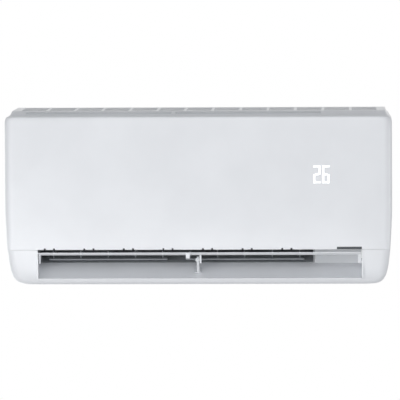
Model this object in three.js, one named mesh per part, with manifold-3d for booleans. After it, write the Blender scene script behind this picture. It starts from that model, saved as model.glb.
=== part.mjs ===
// Mini split indoor unit, the wall-mounted half of an air conditioner. Millimetres, +Z up.
// The wall is the plane y = 0 and the unit faces -Y. The origin is the centre of the wall plate's back face.
// Inside this file a place is given as x (positive to the right, seen from the front), depth (distance
// from the wall) and height (distance above the unit's lowest point).
import * as THREE from 'three';
import { mergeVertices } from 'three/addons/utils/BufferGeometryUtils.js';
import Module from 'manifold-3d';

const wasm = await Module();
wasm.setup();

// ---- Driving dimensions ----
// casing
const WIDTH = 700;
const HEIGHT = 316;
const DEPTH = 205;
const CASING_WALL = 2.5;
const CHIN_SETBACK = 59; // how far the bottom edge lies behind the front
const CHIN_HEIGHT = 175; // where the front starts to curve back
const FACE_EASE = 45; // length over which the face bends into the chin and into the brow
const BROW_DROP = 10; // the rounded brow starts this far below the panel's top
const BROW_SETBACK = 2.7;
const TOP_SLOPE = 14; // depth of the slope between the hinge groove and the grille
const SIDE_TAPER = 7;
const BOTTOM_CORNER = 26;
const FRONT_CORNER = 15;
const FEET_GAP = 1; // casing to wall
const CUT_OUT_END_ROOM = 60; // bottom cut-out for the pipes to each end of the unit
const CUT_OUT_DEPTH = 60;
const TOP_STEP = 8; // the inlet stands this much above the panel
// front panel
const PANEL_WALL = 3;
const PANEL_RETURN = 19; // depth of its sides
const PANEL_BOTTOM = 66;
const PARTING_GAP = 0.6;
const HINGE_PIN_RADIUS = 2;
const HINGE_DROP = 7.5; // pin axis below the panel's top edge
const HINGE_OFFSET = 2; // pin axis in front of the panel's rear edge
const HINGE_END_ROOM = 50; // hinge ear to each end of the unit
const HINGE_EAR = 4; // thickness of the panel's ears and the frame's lugs
const HINGE_PIN_LENGTH = 8;
const SCREW_ROOM_LEFT = 81; // outer screws to the ends of the duct roof
const SCREW_ROOM_RIGHT = 37;
const SCREW_RISE = 20; // above the panel's bottom edge
const SCREW_RADIUS = 1.8;
const NOTCH_WIDTH = 3.4;
const NOTCH_HEIGHT = 2.8;
const NOTCH_SPACING = 16.6;
const NOTCH_PAIRS = 7;
const NOTCH_PITCH = 71.6;
// inlet grille and filters
const GRILLE_REAR = 24;
const GRILLE_BAR = 5;
const GRILLE_ROWS = 5;
const GRILLE_COLUMNS = 9;
const GRILLE_RIB = 6;
const GRILLE_END_ROOM = 25;
const FILTER_THICKNESS = 3.4;
const FILTER_OVERLAP = 20; // the left filter reaches this far past the outlet's end
const FILTER_SPACING = 8; // between the two filters
const FILTER_END_GAP = 19; // right filter to the electrical box
const FILTER_COLUMNS = 5;
const FILTER_ROWS = 3;
const FILTER_TRAY_GAP = 2.7; // filters above the drain tray
const FILTER_RIB = 3;
const FILTER_NET = 0.8;
// outlet, louvre and vanes
const OUTLET_ROOM_LEFT = 59; // outlet to each end of the unit
const OUTLET_ROOM_RIGHT = 55;
const OUTLET_WALL = 3;
const LIP_HEIGHT = 12.5;
const DUCT_FLOOR_REAR = 38; // height of the white duct floor at its rear end
const DUCT_FLOOR_DEPTH = 42; // from the lip back
const DUCT_ROOF_ANGLE = 27.5;
const DUCT_ROOF_WALL = 2.5;
const LOUVRE_CHORD = 51.7;
const LOUVRE_SAG = 3;
const LOUVRE_THICKNESS = 2.4;
const LOUVRE_TILT = 4; // front edge up, when open
const LOUVRE_ARM = 12.7; // pivot to the middle of the chord
const LOUVRE_PIN_RADIUS = 3;
const LOUVRE_ARM_WALL = 3;
const LOUVRE_SUPPORT_OFFSET = 1; // middle support to the right of the outlet's middle
const LOUVRE_MOTOR_RADIUS = 12;
const LOUVRE_MOTOR_LENGTH = 19;
const VANE_COUNT = 10;
const VANE_ROOM_LEFT = 28; // outer vanes to the duct's cheeks
const VANE_ROOM_RIGHT = 24.8;
const VANE_LOUVRE_ROOM = 4.7; // vane pins, where they meet the roof, behind the louvre's rear edge
const VANE_TOP = -2; // from the duct's roof down
const VANE_FLOOR_GAP = 9.2; // vanes to the duct's floor, with room for the links
const VANE_LENGTH = 34;
const VANE_THICKNESS = 1.6;
const VANE_PIN_RADIUS = 2;
const LINK_ARM = 11; // vane pin to link peg
const LINK_WIDTH = 9;
const LINK_THICKNESS = 3;
const LINK_PEG_RADIUS = 1.2;
// fan and motor
const FAN_HEIGHT = 143;
const FAN_REAR_ROOM = 30.64; // fan to the chassis back, for the scroll and the rear coil's foot
const FAN_COIL_GAP = 7; // fan to the front coil
const FAN_END_GAP = 1; // fan to the outlet's left end
const MOTOR_ROOM = 92; // fan to the outlet's right end
const FAN_BLADES = 16;
const FAN_DISCS = 4;
const FAN_DISC_THICKNESS = 3;
const FAN_BLADE_THICKNESS = 1.6;
const SHAFT_RADIUS = 4;
const MOTOR_INSET = 11; // the motor is this much smaller than the fan in radius
const MOTOR_LENGTH = 46;
const MOTOR_BOSS_RADIUS = 20;
const MOTOR_RING = 5.5;
const CRADLE_WALL = 4;
const CRADLE_HALF = 35; // height of the motor's cradle above and below the shaft
const BEARING_WALL = 4;
const RUBBER_NECK = 12.6;
// coil and drain
const COIL_THICKNESS = 20;
const COIL_FIN_PITCH = 30;
const COIL_FIN_DEPTH = 3;
const COIL_TUBE_RADIUS = 3.5;
const COIL_PLATE = 1.5;
const COIL_FOOT = 11; // coil above the drain tray's floor
const COIL_OVER_FAN = 12; // top of the lower slab above the fan
const COIL_JOINT = 11; // between the slabs' ends
const COIL_ROOF = 32; // top of the coil below the unit's top
const TRAY_HEIGHT = 22;
const TRAY_WALL = 2;
const SPIGOT_RADIUS = 6.5;
const SPIGOT_LENGTH = 18;
const SPIGOT_WALL = 1.6;
// pipes
const SUCTION_RADIUS = 4.8;
const LIQUID_RADIUS = 3.2;
const PIPE_END = -180;
const PIPE_HEIGHT = 42;
const PIPE_SPACING = 21;
const PIPE_WALL_ROOM = 17; // pipe's middle to the chassis back
const NUT_LENGTH = 18;
const NUT_WALL = 5;
const CLAMP_LEFT = 110;
const CLAMP_WIDTH = 18;
// electrical box and display
const ELECTRIC_WIDTH = 98;
const ELECTRIC_END_ROOM = 12; // box to the end of the unit
const ELECTRIC_TOP_ROOM = 24;
const ELECTRIC_WALL = 2;
const ELECTRIC_WINDOW_RIM = 10;
const BUTTON_RADIUS = 5;
const BUTTON_RISE = 44; // above the bottom of the electrical box
const BOARD_EDGE = 4; // main board to the box
const BOARD_RISE = 34;
const BOARD_THICKNESS = 1.6;
const DISPLAY_END_ROOM = 127; // display's middle to the end of the unit
const DISPLAY_HEIGHT = 203;
const DISPLAY_HALF_WIDTH = 32;
const DISPLAY_HALF_HEIGHT = 19;
const DIGIT_SPACING = 17;
// wall plate
const PLATE_WIDTH = 460;
const PLATE_THICKNESS = 1.5;
const PLATE_BOTTOM = 100;
const PLATE_DROP = 12; // plate's top edge below the top of the hook that hangs on it
const CHASSIS_BACK = 10;
const CHASSIS_WALL = 3;
const CHASSIS_END_ROOM = 10;
const CHASSIS_TOP_ROOM = 12;
const CHASSIS_BOTTOM = 74; // lower edge of its back
const LEG_SPACING = 300;
const LEG_WIDTH = 50;
const LEG_BOTTOM = 16;
const HOOK_DROP = 14; // hanging hook below the unit's top
// clearances
const FIT_GAP = 0.4; // between pieces that touch
const RUN_GAP = 0.1; // radial, round a turning pin
const FAN_CLEARANCE = 3.5; // fan to the scroll at its closest
const TONGUE_GAP = 6.06; // fan to the front tongue
const TONGUE_ANGLE = 35.54; // degrees below straight ahead
const SCROLL_START = 140; // degrees round the fan from straight ahead
const SCROLL_SWEEP = 118;
const SCROLL_GROWTH = 0.19; // the spiral's radius grows by this share in one radian

// ---- Worked-out places ----
const panelRear = DEPTH - PANEL_RETURN;
const panelTop = HEIGHT - TOP_STEP;
const plateFront = panelRear - PARTING_GAP; // the frame's face behind the panel
const plateRear = plateFront - CASING_WALL - 0.5;
const outletLeft = OUTLET_ROOM_LEFT - WIDTH / 2;
const outletRight = WIDTH / 2 - OUTLET_ROOM_RIGHT;
const fanLeft = outletLeft + FAN_END_GAP;
const fanRight = outletRight - MOTOR_ROOM;
const hinge = new THREE.Vector2(panelRear + HINGE_OFFSET, panelTop - HINGE_DROP);
const lugRadius = HINGE_DROP - PANEL_WALL - 0.2; // clear of the panel's top wall
const grooveRear = hinge.x - Math.hypot(HINGE_OFFSET, HINGE_DROP) - 0.8;
const grooveFloor = hinge.y - 2.8; // clear of the panel's top edge as it swings
const slotFront = grooveRear - 5;
const filterFront = slotFront - 0.8;
const filterRear = filterFront - FILTER_THICKNESS;
const coilFront = filterRear - 1.6;
const coilRear = coilFront - COIL_THICKNESS;
const chassisFront = CHASSIS_BACK + CHASSIS_WALL;
const hookTop = HEIGHT - HOOK_DROP;
const plateTop = hookTop - PLATE_DROP;
const plateCentre = (PLATE_BOTTOM + plateTop) / 2; // height of the origin above the unit's lowest point
const fanRadius = (coilRear - FAN_COIL_GAP - chassisFront - FAN_REAR_ROOM) / 2;
const fanCentre = new THREE.Vector2(coilRear - FAN_COIL_GAP - fanRadius, FAN_HEIGHT);
const motorRadius = fanRadius - MOTOR_INSET;
const cheekLeft = fanLeft - 4;
const cheekRight = fanRight + 4;
const vanePitch = (cheekRight - VANE_ROOM_RIGHT - cheekLeft - VANE_ROOM_LEFT) / (VANE_COUNT - 1);
const electricRight = WIDTH / 2 - ELECTRIC_END_ROOM;
const electricLeft = electricRight - ELECTRIC_WIDTH;
const electricBottom = FAN_HEIGHT - CRADLE_HALF;
const electricTop = HEIGHT - ELECTRIC_TOP_ROOM;
const filtersLeft = outletLeft - FILTER_OVERLAP;
const filterWidth = (electricLeft - FILTER_END_GAP - filtersLeft - FILTER_SPACING) / 2;

// ---- Solids ----
function toSolid(geometry) {
  geometry.deleteAttribute('normal');
  geometry.deleteAttribute('uv');
  const merged = mergeVertices(geometry, 1e-4);
  const vertProperties = new Float32Array(merged.attributes.position.array);
  const triVerts = new Uint32Array(merged.index.array);
  return new wasm.Manifold(new wasm.Mesh({ numProp: 3, vertProperties, triVerts }));
}

function toGeometry(solid) {
  const mesh = solid.getMesh();
  const geometry = new THREE.BufferGeometry();
  geometry.setAttribute('position', new THREE.BufferAttribute(mesh.vertProperties, 3));
  geometry.setIndex(new THREE.BufferAttribute(mesh.triVerts, 1));
  const flat = geometry.toNonIndexed();
  flat.computeVertexNormals();
  return flat;
}

const join = (...solids) => solids.reduce((all, solid) => all.add(solid));
const cut = (solid, ...tools) => tools.reduce((rest, tool) => rest.subtract(tool), solid);
const common = (...solids) => solids.reduce((shared, solid) => shared.intersect(solid));

// A box between two x, two depths and two heights.
function block(xFrom, xTo, depthFrom, depthTo, heightFrom, heightTo) {
  const box = new THREE.BoxGeometry(Math.abs(xTo - xFrom), depthTo - depthFrom, heightTo - heightFrom);
  box.translate((xFrom + xTo) / 2, -(depthFrom + depthTo) / 2, (heightFrom + heightTo) / 2);
  return toSolid(box);
}

const point = (depth, height) => new THREE.Vector2(depth, height);

// A side-view outline of depth and height, carried along x.
function sidePrism(outline, xFrom, xTo) {
  const shape = new THREE.Shape(outline.map((p) => new THREE.Vector2(-p.x, p.y)));
  const prism = new THREE.ExtrudeGeometry(shape, { depth: xTo - xFrom, bevelEnabled: false });
  const axes = new THREE.Matrix4().makeBasis(
    new THREE.Vector3(0, 1, 0),
    new THREE.Vector3(0, 0, 1),
    new THREE.Vector3(1, 0, 0),
  );
  return toSolid(prism.applyMatrix4(axes).translate(xFrom, 0, 0));
}

// A front-view outline of x and height, carried from one depth to another.
function frontPrism(outline, depthFrom, depthTo) {
  const shape = new THREE.Shape(outline);
  const prism = new THREE.ExtrudeGeometry(shape, { depth: depthTo - depthFrom, bevelEnabled: false });
  return toSolid(prism.rotateX(Math.PI / 2).translate(0, -depthFrom, 0));
}

// A plan outline of x and depth, carried from one height to another.
function planPrism(outline, heightFrom, heightTo) {
  const shape = new THREE.Shape(outline.map((p) => new THREE.Vector2(p.x, -p.y)));
  const prism = new THREE.ExtrudeGeometry(shape, { depth: heightTo - heightFrom, bevelEnabled: false });
  return toSolid(prism.translate(0, 0, heightFrom));
}

// A round bar along x. A bore's flats are kept clear of its radius, a bar's corners are on it.
function bar(radius, xFrom, xTo, centre, sides = 16) {
  const cylinder = new THREE.CylinderGeometry(radius, radius, xTo - xFrom, sides);
  cylinder.rotateZ(Math.PI / 2);
  return toSolid(cylinder.translate((xFrom + xTo) / 2, -centre.x, centre.y));
}
const bore = (radius, xFrom, xTo, centre, sides = 16) =>
  bar(radius / Math.cos(Math.PI / sides), xFrom, xTo, centre, sides);

// A round pin along the depth.
function depthBar(radius, depthFrom, depthTo, x, height, sides = 10) {
  const cylinder = new THREE.CylinderGeometry(radius, radius, depthTo - depthFrom, sides);
  return toSolid(cylinder.translate(x, -(depthFrom + depthTo) / 2, height));
}

// A ring turned round an x axis from a profile of x and radius, given in either direction.
function turned(profile, centre, sides = 20) {
  const points = profile.map(([x, radius]) => new THREE.Vector2(radius, x));
  if (THREE.ShapeUtils.area(points) < 0) points.reverse();
  const lathe = new THREE.LatheGeometry(points, sides);
  lathe.rotateZ(-Math.PI / 2);
  return toSolid(lathe.translate(0, -centre.x, centre.y));
}

// A straight strip between two points of the side view, as an outline.
function strip(from, to, halfThickness, overrun = 0) {
  const along = to.clone().sub(from).normalize();
  const across = new THREE.Vector2(-along.y, along.x).multiplyScalar(halfThickness);
  const start = from.clone().addScaledVector(along, -overrun);
  const end = to.clone().addScaledVector(along, overrun);
  return [
    start.clone().sub(across),
    end.clone().sub(across),
    end.clone().add(across),
    start.clone().add(across),
  ];
}

// A sheet that follows a line of the side view, its thickness laid to the left of the line's direction.
function sheetOutline(line, thickness) {
  const shifted = line.map((p, i) => {
    const before = line[Math.max(i - 1, 0)];
    const after = line[Math.min(i + 1, line.length - 1)];
    const first = p.clone().sub(before).normalize();
    const second = after.clone().sub(p).normalize();
    const along = first.add(second).normalize();
    return p.clone().add(new THREE.Vector2(-along.y, along.x).multiplyScalar(thickness));
  });
  return [...line, ...shifted.reverse()];
}

// An outline moved inwards by a distance, corner by corner. The outline runs anticlockwise.
function inset(outline, distance) {
  return outline.map((p, i) => {
    const before = outline[(i + outline.length - 1) % outline.length];
    const after = outline[(i + 1) % outline.length];
    const first = p.clone().sub(before).normalize();
    const second = after.clone().sub(p).normalize();
    const normal = new THREE.Vector2(-first.y - second.y, first.x + second.x);
    const stretch = 1 + first.dot(second);
    return p.clone().addScaledVector(normal, distance / stretch);
  });
}

const arc = (centre, radius, fromDegrees, toDegrees, steps) =>
  Array.from({ length: steps + 1 }, (_, i) => {
    const angle = THREE.MathUtils.degToRad(fromDegrees + ((toDegrees - fromDegrees) * i) / steps);
    return point(centre.x + radius * Math.cos(angle), centre.y + radius * Math.sin(angle));
  });

// ---- Scene ----
const unit = new THREE.Group();
unit.position.z = -plateCentre;

const finish = (color, roughness, metalness = 0) =>
  new THREE.MeshStandardMaterial({ color, roughness, metalness });
const whitePlastic = finish(0xeceef2, 0.35);
const whiteMatt = finish(0xe6e8ea, 0.6);
const darkPlastic = finish(0x55595c, 0.7);
const fanPlastic = finish(0x2f3234, 0.6);
const finAluminium = finish(0xb9c2c8, 0.45, 0.9);
const copper = finish(0xb87348, 0.35, 1);
const brass = finish(0xc9a64b, 0.35, 1);
const steel = finish(0xa9adb0, 0.4, 1);
const zincSteel = finish(0x9fa5a8, 0.5, 0.9);
const rubber = finish(0x1d1d1e, 0.85);
const circuitGreen = finish(0x2c6b3f, 0.5);
const filterGrey = finish(0x8f979c, 0.6);

function addPiece(name, solid, material, parent = unit) {
  const mesh = new THREE.Mesh(toGeometry(solid), material);
  mesh.name = name;
  parent.add(mesh);
  return mesh;
}

// ---- Casing skin, shared by the front panel and the front frame ----
function casingSection() {
  const chin = new THREE.CubicBezierCurve(
    point(DEPTH - CHIN_SETBACK, 0),
    point(DEPTH - 0.32 * CHIN_SETBACK, 0),
    point(DEPTH - 0.05 * CHIN_SETBACK, 0.34 * CHIN_HEIGHT),
    point(DEPTH, CHIN_HEIGHT),
  );
  const face = new THREE.CubicBezierCurve(
    point(DEPTH, CHIN_HEIGHT),
    point(DEPTH, CHIN_HEIGHT + FACE_EASE),
    point(DEPTH - 0.55 * BROW_SETBACK, panelTop - FACE_EASE),
    point(DEPTH - BROW_SETBACK, panelTop - BROW_DROP),
  );
  const brow = new THREE.QuadraticBezierCurve(
    point(DEPTH - BROW_SETBACK, panelTop - BROW_DROP),
    point(DEPTH - 1.2 * BROW_SETBACK, panelTop),
    point(DEPTH - BROW_SETBACK - BROW_DROP, panelTop),
  );
  return [
    point(FEET_GAP, 0),
    ...chin.getPoints(8),
    ...face.getPoints(3).slice(1),
    ...brow.getPoints(4).slice(1),
    point(grooveRear, panelTop),
    point(grooveRear - TOP_SLOPE, HEIGHT),
    point(FEET_GAP + 3, HEIGHT),
    point(FEET_GAP, HEIGHT - 3),
  ];
}

function casingFront() {
  const half = WIDTH / 2;
  const side = new THREE.CubicBezierCurve(
    point(half - BOTTOM_CORNER * 1.7, 0),
    point(half - SIDE_TAPER - 2, 0),
    point(half - SIDE_TAPER + 1, BOTTOM_CORNER),
    point(half, CHIN_HEIGHT * 0.75),
  );
  const right = [
    ...side.getPoints(6),
    point(half, panelTop - 9),
    point(half - 2.6, panelTop - 2.6),
    point(half - 9, panelTop + 1),
    point(half - 12, HEIGHT),
  ];
  const left = right.map((p) => point(-p.x, p.y)).reverse();
  return [...right, ...left];
}

function casingPlan() {
  const half = WIDTH / 2;
  const corner = arc(point(half - FRONT_CORNER, DEPTH - FRONT_CORNER), FRONT_CORNER, 0, 90, 4);
  const right = [point(half, FEET_GAP), ...corner];
  const left = right.map((p) => point(-p.x, p.y)).reverse();
  return [...right, ...left];
}

// The casing's outer body moved inwards by a wall. Moved in, it runs out through the rear.
function casing(wall) {
  const openRear = (p) => (wall > 0 && p.y < FEET_GAP + 2 * wall ? point(p.x, -5) : p);
  const section = inset(casingSection(), wall).map((p) =>
    wall > 0 && p.x < FEET_GAP + 3 + 2 * wall ? point(-5, p.y) : p,
  );
  return common(
    sidePrism(section, -WIDTH, WIDTH),
    frontPrism(inset(casingFront(), wall), -10, DEPTH + 10),
    planPrism(inset(casingPlan(), wall).map(openRear), -10, HEIGHT + 10),
  );
}

const outerCasing = casing(0);
const beyond = WIDTH; // past any edge of the unit

const notchCentres = Array.from(
  { length: NOTCH_PAIRS },
  (_, i) => outletLeft + 21 + i * NOTCH_PITCH,
);

// ---- Front panel, hung on two pins behind its top edge ----
function frontPanel() {
  const region = block(-beyond, beyond, panelRear, DEPTH + 1, PANEL_BOTTOM, panelTop + 1);
  const hollow = common(casing(PANEL_WALL), block(-beyond, beyond, -1, DEPTH, -1, panelTop - PANEL_WALL));
  let panel = cut(common(outerCasing, region), hollow);
  for (const side of [-1, 1]) {
    const ear = [
      point(hinge.x - 1.5, hinge.y + 1.5),
      point(hinge.x - 1.5, hinge.y - 2.5),
      point(hinge.x + 9, hinge.y - 14),
      point(DEPTH - PANEL_WALL - 1, hinge.y - 18),
      point(DEPTH - PANEL_WALL - 1, panelTop - PANEL_WALL + 0.5),
      point(hinge.x + 1, panelTop - PANEL_WALL + 0.5),
    ];
    const inner = (WIDTH / 2 - HINGE_END_ROOM) * side;
    const outer = inner - HINGE_EAR * side;
    const pinEnd = inner + HINGE_PIN_LENGTH * side;
    panel = join(
      panel,
      sidePrism(ear, Math.min(inner, outer), Math.max(inner, outer)),
      bar(HINGE_PIN_RADIUS, Math.min(outer, pinEnd), Math.max(outer, pinEnd), hinge, 12),
    );
  }
  for (const centre of notchCentres) {
    for (const shift of [-NOTCH_SPACING / 2, NOTCH_SPACING / 2]) {
      const left = centre + shift - NOTCH_WIDTH / 2;
      const top = PANEL_BOTTOM + NOTCH_HEIGHT;
      panel = cut(panel, block(left, left + NOTCH_WIDTH, panelRear, DEPTH, PANEL_BOTTOM - 1, top));
    }
  }
  return panel;
}

const outerScrews = [outletLeft + SCREW_ROOM_LEFT, cheekRight - SCREW_ROOM_RIGHT];
const screwPlaces = [outerScrews[0], (outerScrews[0] + outerScrews[1]) / 2, outerScrews[1]];
const screwHeight = PANEL_BOTTOM + SCREW_RISE;

// ---- Front frame: sides, top with the inlet grille, face behind the panel, lip and duct floor ----
const lip = point(DEPTH - 33, LIP_HEIGHT);
const floorRear = point(lip.x - DUCT_FLOOR_DEPTH, DUCT_FLOOR_REAR);
const roofSlope = Math.tan(THREE.MathUtils.degToRad(DUCT_ROOF_ANGLE));
const roofFront = point(plateRear - 1.8, PANEL_BOTTOM + 10.6);
const roofHeight = (depth) => roofFront.y + (roofFront.x - depth) * roofSlope;
const filterCentres = [filtersLeft + filterWidth / 2, filtersLeft + FILTER_SPACING + filterWidth * 1.5];
const louvreFront = point(DEPTH - 5, PANEL_BOTTOM - 5.5);
const tilt = THREE.MathUtils.degToRad(LOUVRE_TILT);
const louvreMiddle = point(
  louvreFront.x - (LOUVRE_CHORD / 2) * Math.cos(tilt),
  louvreFront.y - (LOUVRE_CHORD / 2) * Math.sin(tilt),
);
const louvrePivot = point(louvreMiddle.x - 1.2, louvreMiddle.y - LOUVRE_ARM);
const motorFace = outletRight + OUTLET_WALL + 1;
const openingTop = louvrePivot.y + 27.4; // clear of the louvre's rear edge as it swings

function inletGrille() {
  const slots = [];
  const front = slotFront - 12;
  const pitch = (front - GRILLE_REAR) / GRILLE_ROWS;
  const span = WIDTH - 2 * GRILLE_END_ROOM;
  const columnPitch = span / GRILLE_COLUMNS;
  for (let row = 0; row < GRILLE_ROWS; row += 1) {
    for (let column = 0; column < GRILLE_COLUMNS; column += 1) {
      const left = -span / 2 + column * columnPitch + GRILLE_RIB / 2;
      const rear = GRILLE_REAR + row * pitch;
      slots.push(
        block(left, left + columnPitch - GRILLE_RIB, rear, rear + pitch - GRILLE_BAR, HEIGHT - 6, HEIGHT + 1),
      );
    }
  }
  return slots;
}

function frontFrame() {
  const inside = casing(CASING_WALL);
  const behindFace = block(-beyond, beyond, -10, plateRear, -1, beyond);
  const chinHollow = block(-beyond, beyond, -10, beyond, -1, PANEL_BOTTOM - PARTING_GAP - CASING_WALL);
  const panelRegion = block(
    -beyond, beyond, plateFront, beyond, PANEL_BOTTOM - PARTING_GAP, beyond,
  );
  const hingeGroove = block(-beyond, beyond, grooveRear, beyond, grooveFloor, beyond);
  const grooveStep = common(
    outerCasing,
    block(-beyond, beyond, grooveRear - CASING_WALL, plateFront, grooveFloor - CASING_WALL, beyond),
  );
  let frame = cut(outerCasing, common(inside, behindFace), common(inside, chinHollow), panelRegion);
  frame = cut(join(frame, grooveStep), hingeGroove);
  // the open face behind the panel: two filter windows and one for the electrical cover
  const windowBottom = screwHeight + 8;
  const windowTop = hinge.y - 12;
  for (const centre of filterCentres) {
    const left = centre - filterWidth / 2;
    const right = centre + filterWidth / 2;
    frame = cut(
      frame,
      block(left + 4, right - 4, plateRear - 1, DEPTH, windowBottom, windowTop),
      block(left - 1, right + 1, filterRear - 0.8, slotFront, HEIGHT - 14, beyond),
    );
  }
  frame = cut(
    frame,
    block(
      electricLeft + ELECTRIC_WINDOW_RIM, electricRight - ELECTRIC_WINDOW_RIM, plateRear - 1, DEPTH,
      electricBottom + ELECTRIC_WINDOW_RIM + 2, electricTop - ELECTRIC_WINDOW_RIM - 2,
    ),
    ...inletGrille(),
    block(CUT_OUT_END_ROOM - WIDTH / 2, WIDTH / 2 - CUT_OUT_END_ROOM, -1, CUT_OUT_DEPTH, -1, CASING_WALL + 1),
  );
  // the outlet: opening, floor and the two cheeks
  const opening = [
    lip,
    floorRear,
    point(floorRear.x, openingTop),
    point(beyond, openingTop),
    point(beyond, LIP_HEIGHT),
  ];
  frame = cut(frame, sidePrism(opening, outletLeft, outletRight));
  const floor = sheetOutline([lip, floorRear], OUTLET_WALL);
  const cheek = [
    point(lip.x - 4, LIP_HEIGHT - 6),
    point(beyond, LIP_HEIGHT - 6),
    point(beyond, PANEL_BOTTOM - PARTING_GAP),
    point(plateFront, PANEL_BOTTOM - PARTING_GAP),
    point(plateFront, roofHeight(plateFront) + 6),
    point(floorRear.x, roofHeight(floorRear.x) - 1),
    point(floorRear.x, floorRear.y - 3),
  ];
  const trunk = join(
    sidePrism(floor, outletLeft - OUTLET_WALL, outletRight + OUTLET_WALL),
    sidePrism(cheek, outletLeft - OUTLET_WALL, outletLeft),
    sidePrism(cheek, outletRight, outletRight + OUTLET_WALL),
  );
  frame = join(frame, common(outerCasing, trunk));
  // pivot holes of the louvre
  frame = cut(
    frame,
    bore(LOUVRE_PIN_RADIUS + 2.4, outletLeft - OUTLET_WALL - 1, outletLeft + 1, louvrePivot),
    bore(LOUVRE_PIN_RADIUS + 0.4, outletRight - 1, outletRight + OUTLET_WALL + 1, louvrePivot),
  );
  const motorEnd = motorFace + LOUVRE_MOTOR_LENGTH;
  const motorRelief = bar(LOUVRE_MOTOR_RADIUS + FIT_GAP, motorFace - FIT_GAP, motorEnd + FIT_GAP, louvrePivot);
  frame = cut(frame, motorRelief);
  // lugs that hold the panel's pins
  for (const side of [-1, 1]) {
    const inner = (WIDTH / 2 - HINGE_END_ROOM + 1.5) * side;
    const outer = inner + HINGE_EAR * side;
    const lug = [
      point(plateFront - 1, hinge.y - 10),
      point(hinge.x, hinge.y - 10),
      ...arc(hinge, lugRadius, -60, 150, 8),
      point(hinge.x - lugRadius - 0.1, hinge.y - 3),
      point(plateFront - 1, hinge.y - 3),
    ];
    const from = Math.min(inner, outer);
    const to = Math.max(inner, outer);
    frame = join(frame, sidePrism(lug, from, to));
    frame = cut(frame, bore(HINGE_PIN_RADIUS + 0.25, from - 1, to + 1, hinge, 12));
  }
  for (const x of screwPlaces) {
    frame = cut(frame, depthBar(SCREW_RADIUS + FIT_GAP, plateRear - 1, DEPTH, x, screwHeight, 8));
  }
  return frame;
}

// ---- Display behind the panel ----
const displayCentre = new THREE.Vector2(WIDTH / 2 - DISPLAY_END_ROOM, DISPLAY_HEIGHT);
const displayRear = panelRear + 3;
const displayFront = DEPTH - PANEL_WALL - 1.4;

function displayHousing() {
  const { x, y } = displayCentre;
  const wall = 2;
  const left = x - DISPLAY_HALF_WIDTH;
  const right = x + DISPLAY_HALF_WIDTH;
  const low = y - DISPLAY_HALF_HEIGHT;
  const high = y + DISPLAY_HALF_HEIGHT;
  const shell = block(left, right, displayRear, displayFront, low, high);
  const room = block(
    left + wall, right - wall, displayRear + wall, displayFront + 1, low + wall, high - wall,
  );
  const wireSlot = block(left - 1, left + wall + 1, displayRear + 3, displayRear + 7, y - 6, y + 6);
  return cut(shell, room, wireSlot);
}

function displayBoard() {
  const { x, y } = displayCentre;
  const rear = displayRear + 2 + FIT_GAP;
  const halfWidth = DISPLAY_HALF_WIDTH - 2 - FIT_GAP;
  const halfHeight = DISPLAY_HALF_HEIGHT - 2 - FIT_GAP;
  let board = block(
    x - halfWidth, x + halfWidth, rear, rear + BOARD_THICKNESS, y - halfHeight, y + halfHeight,
  );
  for (const shift of [-DIGIT_SPACING / 2, DIGIT_SPACING / 2]) {
    const left = x + shift - DIGIT_SPACING / 2 + 1;
    const right = x + shift + DIGIT_SPACING / 2 - 1;
    board = join(board, block(left, right, rear + 1, displayFront - FIT_GAP, y - 12, y + 12));
  }
  return board;
}

// ---- Outlet duct roof with the fan's front tongue ----
const tongueAngle = THREE.MathUtils.degToRad(TONGUE_ANGLE);
const tongueTip = fanCentre.clone().add(
  point(Math.cos(tongueAngle), -Math.sin(tongueAngle)).multiplyScalar(fanRadius + TONGUE_GAP),
);
const roofRear = point(tongueTip.x + 3.2, roofHeight(tongueTip.x + 3.2));
const ductLeft = outletLeft + FIT_GAP;
const ductRight = cheekRight - FIT_GAP;

// Vanes turn about pins square to the duct roof. Their group's own z is that direction.
const ductTurn = THREE.MathUtils.degToRad(DUCT_ROOF_ANGLE);
const louvreRear = louvreMiddle.x - (LOUVRE_CHORD / 2) * Math.cos(tilt);
const vaneRoofPoint = point(louvreRear - VANE_LOUVRE_ROOM, 0); // where the pin's axis meets the roof
vaneRoofPoint.y = roofHeight(vaneRoofPoint.x);
// the duct's floor runs straight from the scroll's end to the white outlet floor, and the vanes end above it
const scrollEnd = scrollLine().at(-1);
const floorSlope = (floorRear.y - scrollEnd.y) / (floorRear.x - scrollEnd.x);
const vaneRear = VANE_LENGTH / 2 - 2;
const floorUnder = (ahead) => {
  const depth = vaneRoofPoint.x + ahead * Math.cos(ductTurn);
  const floorHeight = scrollEnd.y + floorSlope * (depth - scrollEnd.x);
  const drop = floorHeight - vaneRoofPoint.y + ahead * Math.sin(ductTurn);
  return drop / (Math.cos(ductTurn) - floorSlope * Math.sin(ductTurn));
};
const vaneBottom = Math.max(floorUnder(-vaneRear), floorUnder(LINK_ARM)) + VANE_FLOOR_GAP;
const vanePlaces = Array.from({ length: VANE_COUNT }, (_, i) => cheekLeft + VANE_ROOM_LEFT + i * vanePitch);

// Brings a solid from the vane's own frame (z up its pin, origin where the pin meets the roof) to the unit.
function alongDuct(solid, x = 0) {
  const degrees = DUCT_ROOF_ANGLE;
  return solid.rotate([degrees, 0, 0]).translate([x, -vaneRoofPoint.x, vaneRoofPoint.y]);
}

function upright(radius, from, to, x = 0, depth = 0, sides = 12) {
  const cylinder = new THREE.CylinderGeometry(radius, radius, to - from, sides);
  cylinder.rotateX(Math.PI / 2);
  return toSolid(cylinder.translate(x, -depth, (from + to) / 2));
}

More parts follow.
